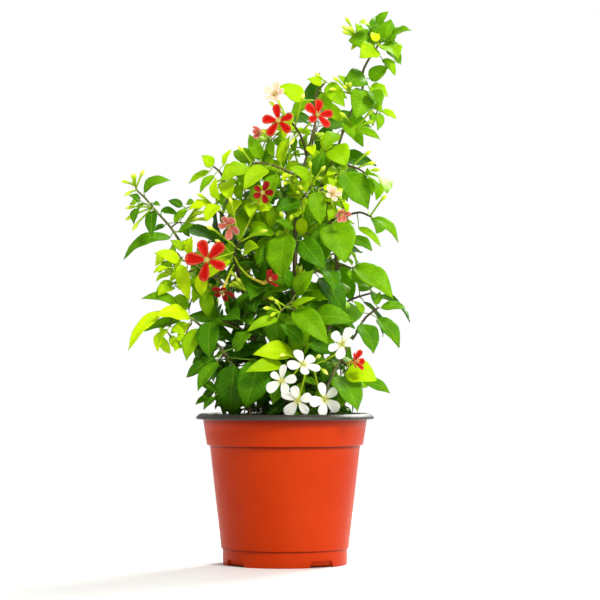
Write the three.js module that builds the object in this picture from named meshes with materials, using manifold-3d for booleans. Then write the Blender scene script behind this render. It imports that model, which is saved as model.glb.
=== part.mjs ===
// A young rangoon creeper in a plastic nursery pot: pot, soil, woody stems, leafy shoots with buds and
// flower tubes, and the open blooms. Millimetres, +Z up, the origin at the middle of the pot's foot,
// the plant's front facing -Y.
import * as THREE from "three";
import { mergeVertices } from "three/addons/utils/BufferGeometryUtils.js";
import Module from "manifold-3d";

const wasm = await Module();
wasm.setup();

// Driving dimensions
const GAP = 0.3; // between pieces that touch
const SLIVER = 0.02; // detail finer than this is melted out of what is fused
const POT_HEIGHT = 128;
const POT_WALL = 1.5;
const POT_SIDES = 32;
const FOOT_RADIUS = 52.5;
const FOOT_HEIGHT = 13.4;
const BODY_RADIUS_LOW = 54;
const BODY_RADIUS_HIGH = 63.5;
const BAND_BOTTOM = 100.5;
const BAND_RADIUS_LOW = 66.2;
const BAND_RADIUS_HIGH = 69.4;
const LIP_RADIUS = 75.4;
const LIP_HEIGHT = 5.5;
const NOTCH_WIDTH = 25;
const NOTCH_HEIGHT = 5.5;
const NOTCH_ANGLES = [-53.5, 36.5, 126.5, 216.5]; // degrees from the front, towards +X
const NOTCH_INNER_RADIUS = 44;
const NOTCH_DEPTH = 14; // from its inner radius out past the wall
const SOIL_TOP = 117;
const SOIL_RADIUS = 66;
const SOIL_SIDES = 20;
const SOIL_RINGS = [0.96, 0.7, 0.42, 0.14]; // of its surface, as shares of its radius
const SOIL_RELIEF = 1.4;
const LEAF_THICKNESS = 0.7;
const PETALS = 5;
const PETAL_THICKNESS = 0.7;
const PETAL_THROAT = 2.6; // from the bloom's middle to where two petals part
const PETAL_WIDEST = 0.62; // as a share of its length
const PETAL_HALF_ANGLE = 0.42; // seen from the bloom's middle, at the widest place
const PETAL_TIP_ANGLE = 0.16;
const PETAL_TURN = 18; // how far a petal's angle wanders, in degrees
const PETAL_UNEVENNESS = 0.3; // and its length
const PETAL_CUP = 0.8; // how far its sides stand forward
const STALK_HALF_WIDTH = 0.9;
const STALK_OUT = 6; // of a leaf that grows by rule, away from its stem
const STALK_ALONG = 3; // and along it
const LEAF_FOLD = 0.3; // rise of a leaf's edge for each mm of half width
const LEAF_ARCH = 0.1; // height of a leaf's arch for each mm of length
const FINE_WIDTH = 22.5; // wider leaves have one more bend along their length
const NARROW_WIDTH = 11.5; // narrower ones have one less
const OUTWARDNESS = 0.45; // how far a leaf's upper side turns away from the middle of the plant
const UPWARDNESS = 0.6; // and up
const FRONTNESS = 0.9; // and to the front, on the leaves placed after the real ones
const LEAF_GAP = 4.2; // least distance kept from the leaves, stems and blooms of other pieces
const OWN_GAP = 2.4; // the same among the leaves of one shoot
const TRIES = 16;
const LONG_LEAF = 50; // leaves by rule, at the foot of a shoot
const SHORT_LEAF = 38; // and at its tip
const RULE_WIDTH = 0.6; // of such a leaf, for each mm of length
const SHOOT_RADIUS = 1.15;
const SHOOT_TIP = 1.6; // the stem runs on past its last leaves
const SHOOT_SIDES = 3;
const SHOOT_STEPS = 1.5; // rings for each stretch between two points
const BUD_SAG = 0.24; // how high a bud's stalk arches, for each mm of length
const TUBE_BEND = 0.55; // where a flower's tube turns to its bloom
const TUBE_DIP = 0.12; // and how far behind the bloom it runs there
const TUBE_RADIUS = 0.8;
const TUBE_FLARE = 0.08; // more at each further ring
const BUD_RADII = [0.8, 0.9, 1.9, 0.3]; // stalk, neck, middle and point
const BUD_LENGTH = 9;
const SEED = 2024;

const COLOURS = {
  pot: 0xc8452a,
  soil: 0x4a3527,
  wood: 0x5d4330,
  leaf: 0x4f9a1c,
  red: 0xd22a1c,
  dark_red: 0xa01818,
  pink: 0xe58f7d,
  cream: 0xf3e3c3,
  white: 0xf8f8f0,
};

const vec = (x, y, z) => new THREE.Vector3(x, y, z);
const mix = (a, b, t) => a.clone().lerp(b, t);

// Random numbers between 0 and 1, the same on each run.
let state = SEED;
function random() {
  state = (state * 1664525 + 1013904223) % 4294967296;
  return state / 4294967296;
}
const spread = (size) => (random() - 0.5) * size;

// Solids

function solidOf(geometry) {
  geometry.deleteAttribute("normal");
  geometry.deleteAttribute("uv");
  const merged = mergeVertices(geometry, 1e-4);
  return new wasm.Manifold(
    new wasm.Mesh({
      numProp: 3,
      vertProperties: merged.attributes.position.array,
      triVerts: new Uint32Array(merged.index.array),
    }),
  );
}

function geometryOf(solid) {
  const mesh = solid.getMesh();
  const geometry = new THREE.BufferGeometry();
  geometry.setAttribute("position", new THREE.BufferAttribute(mesh.vertProperties, 3));
  geometry.setIndex(new THREE.BufferAttribute(mesh.triVerts, 1));
  return geometry;
}

// The closed surface with these corners and faces, each face a list of corners seen from outside.
function faceted(corners, faces) {
  const geometry = new THREE.BufferGeometry();
  const triangles = faces.flatMap((f) => f.slice(2).flatMap((c, i) => [f[0], f[i + 1], c]));
  const flat = corners.flatMap((c) => [c.x, c.y, c.z]);
  geometry.setAttribute("position", new THREE.Float32BufferAttribute(flat, 3));
  geometry.setIndex(triangles);
  return geometry;
}

// The solids fused in one body, without the scraps that lie loose.
function joined(solids) {
  const parts = wasm.Manifold.union(solids).simplify(SLIVER).decompose();
  return parts.reduce((a, b) => (a.volume() > b.volume() ? a : b));
}

// A tube through the centres, with its own radius at each, closed by a flat end at both.
function tube(centres, radii, sides) {
  const corners = [];
  const faces = [];
  let across = null;
  centres.forEach((centre, i) => {
    const before = centres[Math.max(i - 1, 0)];
    const after = centres[Math.min(i + 1, centres.length - 1)];
    const along = after.clone().sub(before).normalize();
    if (!across) across = Math.abs(along.x) < 0.9 ? vec(1, 0, 0) : vec(0, 1, 0);
    across = across.clone().addScaledVector(along, -across.dot(along)).normalize();
    const up = along.clone().cross(across);
    for (let k = 0; k < sides; k++) {
      const angle = (2 * Math.PI * k) / sides;
      const rim = centre.clone().addScaledVector(across, radii[i] * Math.cos(angle));
      corners.push(rim.addScaledVector(up, radii[i] * Math.sin(angle)));
    }
    if (i === 0) return;
    for (let k = 0; k < sides; k++) {
      const a = (i - 1) * sides + k;
      const b = (i - 1) * sides + ((k + 1) % sides);
      faces.push([a, b, b + sides, a + sides]);
    }
  });
  const ring = [...Array(sides).keys()];
  const last = (centres.length - 1) * sides;
  faces.push(ring.slice().reverse());
  faces.push(ring.map((k) => last + k));
  return solidOf(faceted(corners, faces));
}

// Points along a smooth curve through the given ones.
function smooth(points, steps) {
  const curve = new THREE.CatmullRomCurve3(points, false, "catmullrom", 0.5);
  return curve.getPoints(steps);
}

// Pot

function potGeometry() {
  const lipBottom = POT_HEIGHT - LIP_HEIGHT;
  const w = POT_WALL;
  const profile = [
    [0, 0],
    [FOOT_RADIUS - 0.6, 0],
    [FOOT_RADIUS, 0.8],
    [FOOT_RADIUS + 0.2, FOOT_HEIGHT - 0.4],
    [BODY_RADIUS_LOW, FOOT_HEIGHT + 0.8],
    [BODY_RADIUS_HIGH, BAND_BOTTOM - 0.4],
    [BAND_RADIUS_LOW - 0.8, BAND_BOTTOM],
    [BAND_RADIUS_LOW, BAND_BOTTOM + 1.2],
    [BAND_RADIUS_HIGH, lipBottom],
    [LIP_RADIUS - 1.2, lipBottom],
    [LIP_RADIUS, lipBottom + 1],
    [LIP_RADIUS - 0.9, lipBottom + 2.9],
    [LIP_RADIUS - 2.8, POT_HEIGHT - 0.8],
    [BAND_RADIUS_HIGH + 0.8, POT_HEIGHT],
    [BAND_RADIUS_HIGH - w, POT_HEIGHT - 1.8],
    [BAND_RADIUS_HIGH - w, lipBottom],
    [BAND_RADIUS_LOW - w, BAND_BOTTOM + 1.6],
    [BODY_RADIUS_HIGH - w, BAND_BOTTOM - 1],
    [BODY_RADIUS_LOW - w, FOOT_HEIGHT + 0.4],
    [FOOT_RADIUS - w, FOOT_HEIGHT - 0.6],
    [FOOT_RADIUS - w, w],
    [0, w],
  ];
  const outline = profile.map(([r, z]) => new THREE.Vector2(r, z));
  return new THREE.LatheGeometry(outline, POT_SIDES).rotateX(Math.PI / 2);
}

// The plug of air of one drain notch: an arch pushed out through the foot of the wall.
function notch(degrees) {
  const half = NOTCH_WIDTH / 2;
  const arch = new THREE.Shape();
  arch.moveTo(-half, -1);
  arch.lineTo(half, -1);
  arch.lineTo(half - 1.5, NOTCH_HEIGHT - 2);
  arch.lineTo(half - 4, NOTCH_HEIGHT);
  arch.lineTo(4 - half, NOTCH_HEIGHT);
  arch.lineTo(1.5 - half, NOTCH_HEIGHT - 2);
  const plug = new THREE.ExtrudeGeometry(arch, { depth: NOTCH_DEPTH, bevelEnabled: false });
  plug.rotateX(Math.PI / 2).translate(0, -NOTCH_INNER_RADIUS, 0);
  plug.rotateZ(THREE.MathUtils.degToRad(degrees));
  return solidOf(plug);
}

function potSolid() {
  return NOTCH_ANGLES.map(notch).reduce((pot, n) => pot.subtract(n), solidOf(potGeometry()));
}

// Soil

// Height of the soil's surface, a gently lumpy one.
function soilHeight(x, y) {
  const lumps = Math.sin(0.21 * x + 1.3) * Math.sin(0.17 * y + 0.4) + 0.6 * Math.sin(0.37 * x - 0.29 * y);
  return SOIL_TOP + SOIL_RELIEF * lumps;
}

function soilSolid() {
  const inset = POT_WALL + GAP + 0.2;
  const wall = [
    [FOOT_RADIUS - inset, POT_WALL + GAP],
    [FOOT_RADIUS - inset - 0.2, FOOT_HEIGHT - 1],
    [BODY_RADIUS_LOW - inset - 0.2, FOOT_HEIGHT + 0.8],
    [BODY_RADIUS_HIGH - inset - 0.3, BAND_BOTTOM - 2],
    [BAND_RADIUS_LOW - inset - 1, BAND_BOTTOM + 3.4],
    [SOIL_RADIUS, SOIL_TOP - 2.5],
  ];
  const corners = [];
  const faces = [];
  const sides = SOIL_SIDES;
  const ring = (at) => {
    for (let k = 0; k < sides; k++) corners.push(at((2 * Math.PI * k) / sides));
  };
  wall.forEach(([r, z]) => ring((a) => vec(r * Math.cos(a), r * Math.sin(a), z)));
  SOIL_RINGS.forEach((share) =>
    ring((a) => {
      const x = share * SOIL_RADIUS * Math.cos(a);
      const y = share * SOIL_RADIUS * Math.sin(a);
      return vec(x, y, soilHeight(x, y));
    }),
  );
  const count = wall.length + SOIL_RINGS.length;
  for (let i = 1; i < count; i++) {
    for (let k = 0; k < sides; k++) {
      const a = (i - 1) * sides + k;
      const b = (i - 1) * sides + ((k + 1) % sides);
      faces.push([a, b, b + sides, a + sides]);
    }
  }
  const all = [...Array(sides).keys()];
  faces.push(all.slice().reverse());
  faces.push(all.map((k) => (count - 1) * sides + k));
  return solidOf(faceted(corners, faces));
}

// Woody stems: each a list of limbs, the first one standing in the soil.
// A limb is its points and its radius at the foot and at the end.
const WOOD = {
  stem_right: [
    {
      points: [[16, 4, 92], [20, 3, 140], [34, 1, 190], [42, -2, 225], [44, -3, 256], [38, -2, 290],
        [31, -1, 322], [41, 0, 342], [52, 0, 374], [66, 0, 403]],
      radii: [2.4, 0.9],
    },
  ],
  stem_centre: [
    {
      points: [[-2, -8, 92], [2, -12, 150], [6, -14, 200], [8, -16, 250], [10, -16, 300], [16, -13, 335],
        [22, -10, 358]],
      radii: [2.2, 0.9],
    },
  ],
  stem_left: [
    {
      points: [[-16, 0, 92], [-20, -2, 150], [-28, -5, 200], [-38, -7, 240], [-45, -7, 280], [-50, -6, 320]],
      radii: [2.1, 0.9],
    },
    {
      points: [[-30, -6, 208], [-54, -12, 238], [-74, -12, 258], [-89, -10, 273]],
      radii: [1.5, 1],
    },
  ],
  stem_back: [
    {
      points: [[2, 14, 92], [6, 26, 160], [8, 34, 220], [10, 34, 280], [16, 26, 330], [26, 16, 368]],
      radii: [2.1, 0.9],
    },
  ],
  stem_low_left: [
    { points: [[-22, -22, 92], [-32, -28, 140], [-46, -28, 172], [-66, -22, 196]], radii: [1.7, 1] },
  ],
  stem_low_right: [
    { points: [[22, -20, 92], [32, -28, 140], [46, -26, 172], [62, -20, 198]], radii: [1.7, 1] },
  ],
};
const WOOD_SIDES = 6;
const WOOD_STEPS = 1.6; // rings for each stretch between two points

function limbSolid(limb, extra) {
  const points = limb.points.map((p) => vec(...p));
  const steps = Math.round(WOOD_STEPS * (points.length - 1));
  const centres = smooth(points, steps);
  const [foot, end] = limb.radii;
  const radii = centres.map((c, i) => foot + ((end - foot) * i) / steps + extra);
  centres[steps].add(centres[steps].clone().sub(centres[steps - 1]).setLength(extra));
  return tube(centres, radii, WOOD_SIDES);
}

const woodSolid = (limbs, extra) => joined(limbs.map((limb) => limbSolid(limb, extra)));

// Leaves

// Half width of a leaf at a share of its length, against its widest place.
function leafOutline(t) {
  return (Math.pow(t, 0.55) * Math.pow(1 - t, 0.9)) / 0.3978;
}

// A leaf's own directions and sizes. face is the way its upper side would like to look.
function leafFrame(root, base, tip, width, arch, face) {
  const along = tip.clone().sub(base);
  const length = along.length();
  along.normalize();
  const up = face.clone().addScaledVector(along, -face.dot(along)).normalize();
  const across = up.clone().cross(along);
  const stations = width < NARROW_WIDTH ? [0.42] : [0.22, 0.62];
  return { root, base, along, up, across, length, width, arch, stations };
}

// A point of the leaf's middle surface: t runs from base to tip, side from -1 to 1 across.
function leafPoint(leaf, t, side) {
  const half = (leaf.width / 2) * leafOutline(t);
  const rise = leaf.arch * leaf.length * 4 * t * (1 - t) + LEAF_FOLD * half * Math.abs(side);
  const point = leaf.base.clone().addScaledVector(leaf.along, leaf.length * t);
  return point.addScaledVector(leaf.across, half * side).addScaledVector(leaf.up, rise);
}

// The points at which a leaf is tested against its neighbours.
function leafCloud(leaf) {
  const cloud = [];
  for (let i = 1; i <= 12; i++) {
    for (let k = -3; k <= 3; k++) cloud.push(leafPoint(leaf, i / 12, k / 3));
  }
  return cloud;
}

// The blade with its stalk, which starts inside the stem at the root.
function leafSolid(leaf) {
  const half = LEAF_THICKNESS / 2;
  const stalk = leaf.base.clone().sub(leaf.root).normalize();
  let lift = stalk.clone().cross(leaf.across);
  if (lift.lengthSq() < 0.01) lift = leaf.up.clone();
  lift.normalize();
  const mitre = lift.clone().add(leaf.up).normalize();
  const stations = leaf.stations;
  const rows = [];
  const row = (centre, sides, offset) => {
    const shifted = (point, by) => point.clone().addScaledVector(offset, by);
    rows.push(sides.map((s) => [shifted(centre(s), half), shifted(centre(s), -half)]));
  };
  const strip = (origin) => (s) => origin.clone().addScaledVector(leaf.across, s * STALK_HALF_WIDTH);
  row(strip(leaf.root), [0], lift);
  if (leaf.stalked) row(strip(leaf.base), [-1, 1], mitre);
  stations.forEach((t) => row((s) => leafPoint(leaf, t, s), [-1, 0, 1], leaf.up));
  row((s) => leafPoint(leaf, 1, s), [0], leaf.up);
  return solidOf(bladeGeometry(rows));
}

// A closed blade from rows of [upper, lower] pairs, from its root to its tip.
function bladeGeometry(rows) {
  const corners = rows.flat(2);
  const starts = [];
  rows.reduce((sum, r) => (starts.push(sum), sum + 2 * r.length), 0);
  const upper = (i, k) => starts[i] + 2 * k;
  const faces = [];
  const both = (...points) => {
    faces.push(points.map(([i, k]) => upper(i, k)).reverse());
    faces.push(points.map(([i, k]) => upper(i, k) + 1));
  };
  for (let i = 0; i + 1 < rows.length; i++) {
    const here = rows[i].length - 1;
    const next = rows[i + 1].length - 1;
    if (here === next) {
      for (let k = 0; k < here; k++) {
        const left = k < here / 2;
        both([i, k], [i, k + 1], left ? [i + 1, k + 1] : [i + 1, k]);
        both(...(left ? [[i, k], [i + 1, k + 1], [i + 1, k]] : [[i, k + 1], [i + 1, k + 1], [i + 1, k]]));
      }
    } else if (here === 0) {
      for (let k = 0; k < next; k++) both([i, 0], [i + 1, k + 1], [i + 1, k]);
    } else if (next === 0) {
      for (let k = 0; k < here; k++) both([i, k], [i, k + 1], [i + 1, 0]);
    } else {
      both([i, 0], [i, 1], [i + 1, 1]);
      both([i, 0], [i + 1, 1], [i + 1, 0]);
      both([i, 1], [i + 1, 2], [i + 1, 1]);
    }
  }
  const left = rows.map((r, i) => upper(i, 0));
  const right = rows.map((r, i) => upper(i, r.length - 1));
  const rim = [...left.slice().reverse(), ...right];
  const loop = rim.filter((c, i) => c !== rim[(i + 1) % rim.length]);
  loop.forEach((c, i) => {
    const d = loop[(i + 1) % loop.length];
    faces.push([c, d, d + 1, c + 1]);
  });
  return faceted(corners, faces);
}

// Blooms

// Name, middle, the way it looks, reach of its petals, how far they fold forward, turn, colour.
const BLOOMS = [
  ["bloom_crown_left", [-5, -34, 372], [-0.3, -1, 0.25], 14, 0.15, -4, "red"],
  ["bloom_crown_right", [27, -34, 377], [0.3, -0.9, 0.3], 14, 0.3, 14, "red"],
  ["bloom_crown_faded", [-8, -22, 395], [-0.3, -0.9, 0.5], 12, 0.6, 10, "cream"],
  ["bloom_crown_pink", [-19, -28, 364], [-0.7, -0.7, -0.2], 9.5, 1.6, 0, "pink"],
  ["bloom_upper_dark", [-18, -52, 311], [-0.1, -1, -0.1], 10.5, 0.4, 20, "dark_red"],
  ["bloom_left_pink", [-45, -46, 285], [-0.4, -0.8, -0.5], 12.5, 0.5, 50, "pink"],
  ["bloom_left_star", [-64, -54, 255], [-0.15, -1, 0.05], 17.5, 0.05, -25, "red"],
  ["bloom_left_under", [-51, -50, 230], [-0.2, -0.6, -0.8], 10.5, 0.4, 30, "dark_red"],
  ["bloom_middle_side", [-15, -60, 237], [0.75, -0.5, 0.4], 11.5, 0.9, 12, "dark_red"],
  ["bloom_right_cream", [39, -42, 310], [0.3, -0.9, 0.2], 9.5, 0.8, 25, "cream"],
  ["bloom_right_faded", [46, -46, 295], [0.3, -0.7, -0.6], 10, 0.9, 60, "pink"],
  ["bloom_white_left", [-2, -74, 155], [-0.5, -0.9, 0.3], 15, 0.25, 14, "white"],
  ["bloom_white_top", [15, -64, 168], [0.2, -0.8, 0.6], 13.5, 0.25, 44, "white"],
  ["bloom_white_right", [48, -62, 185], [-0.5, -0.8, 0.3], 14.5, 0.3, 28, "white"],
  ["bloom_white_low", [11, -58, 139], [-0.1, -0.9, -0.2], 14, 0.2, 0, "white"],
  ["bloom_white_corner", [33, -52, 140], [0.35, -0.9, 0.1], 15.5, 0.15, 52, "white"],
  ["bloom_low_orange", [57, -62, 171], [0.8, -0.6, 0.1], 11, 0.7, 15, "red"],
];

// The petals of a bloom: each with its own length and angle.
function bloomFrame([name, centre, facing, reach, lift, turn, colour]) {
  const out = vec(...facing).normalize();
  const level = vec(0, 0, 1).addScaledVector(out, -out.z).normalize();
  const petals = [];
  for (let k = 0; k < PETALS; k++) {
    const angle = ((turn + spread(PETAL_TURN)) / 180 + (2 * k) / PETALS) * Math.PI;
    petals.push({ angle, length: reach * (1 + spread(PETAL_UNEVENNESS)) });
  }
  return { name, centre: vec(...centre), out, level, side: level.clone().cross(out), lift, petals, colour };
}

// A point of a bloom at an angle and a distance from its middle along the petals.
function bloomPoint(bloom, angle, distance, height) {
  const share = distance / Math.hypot(1, bloom.lift);
  return bloom.centre
    .clone()
    .addScaledVector(bloom.level, share * Math.cos(angle))
    .addScaledVector(bloom.side, share * Math.sin(angle))
    .addScaledVector(bloom.out, share * bloom.lift + height);
}

function bloomSolid(bloom) {
  const corners = [];
  const add = (angle, distance, height) => {
    const point = bloomPoint(bloom, angle, distance, height);
    corners.push(point, point.clone().addScaledVector(bloom.out, PETAL_THICKNESS));
  };
  add(0, 0, 0);
  bloom.petals.forEach(({ angle, length }, k) => {
    const before = bloom.petals.at(k - 1).angle - (k ? 0 : 2 * Math.PI);
    add((before + angle) / 2, PETAL_THROAT, PETAL_CUP / 3);
    add(angle - PETAL_HALF_ANGLE, PETAL_WIDEST * length, PETAL_CUP);
    add(angle - PETAL_TIP_ANGLE, length, 0);
    add(angle + PETAL_TIP_ANGLE, length, 0);
    add(angle + PETAL_HALF_ANGLE, PETAL_WIDEST * length, PETAL_CUP);
  });
  const rim = 5 * PETALS;
  const at = (k) => 2 * (1 + ((k + rim) % rim));
  const faces = [];
  const both = (a, b, c) => faces.push([a + 1, c + 1, b + 1], [a, b, c]);
  for (let k = 0; k < rim; k += 5) {
    both(0, at(k), at(k + 1));
    both(0, at(k + 1), at(k + 4));
    both(0, at(k + 4), at(k + 5));
    both(at(k + 1), at(k + 2), at(k + 4));
    both(at(k + 2), at(k + 3), at(k + 4));
  }
  for (let k = 0; k < rim; k++) faces.push([at(k), at(k) + 1, at(k + 1) + 1, at(k + 1)]);
  return solidOf(faceted(corners, faces));
}

function bloomCloud(bloom) {
  const cloud = [bloom.centre.clone()];
  bloom.petals.forEach(({ angle, length }) => {
    for (const share of [0.3, 0.55, 0.78, 1]) {
      for (const turn of [-0.4, 0, 0.4]) cloud.push(bloomPoint(bloom, angle + turn, share * length, 0));
    }
  });
  return cloud;
}

// Shoots

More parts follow.
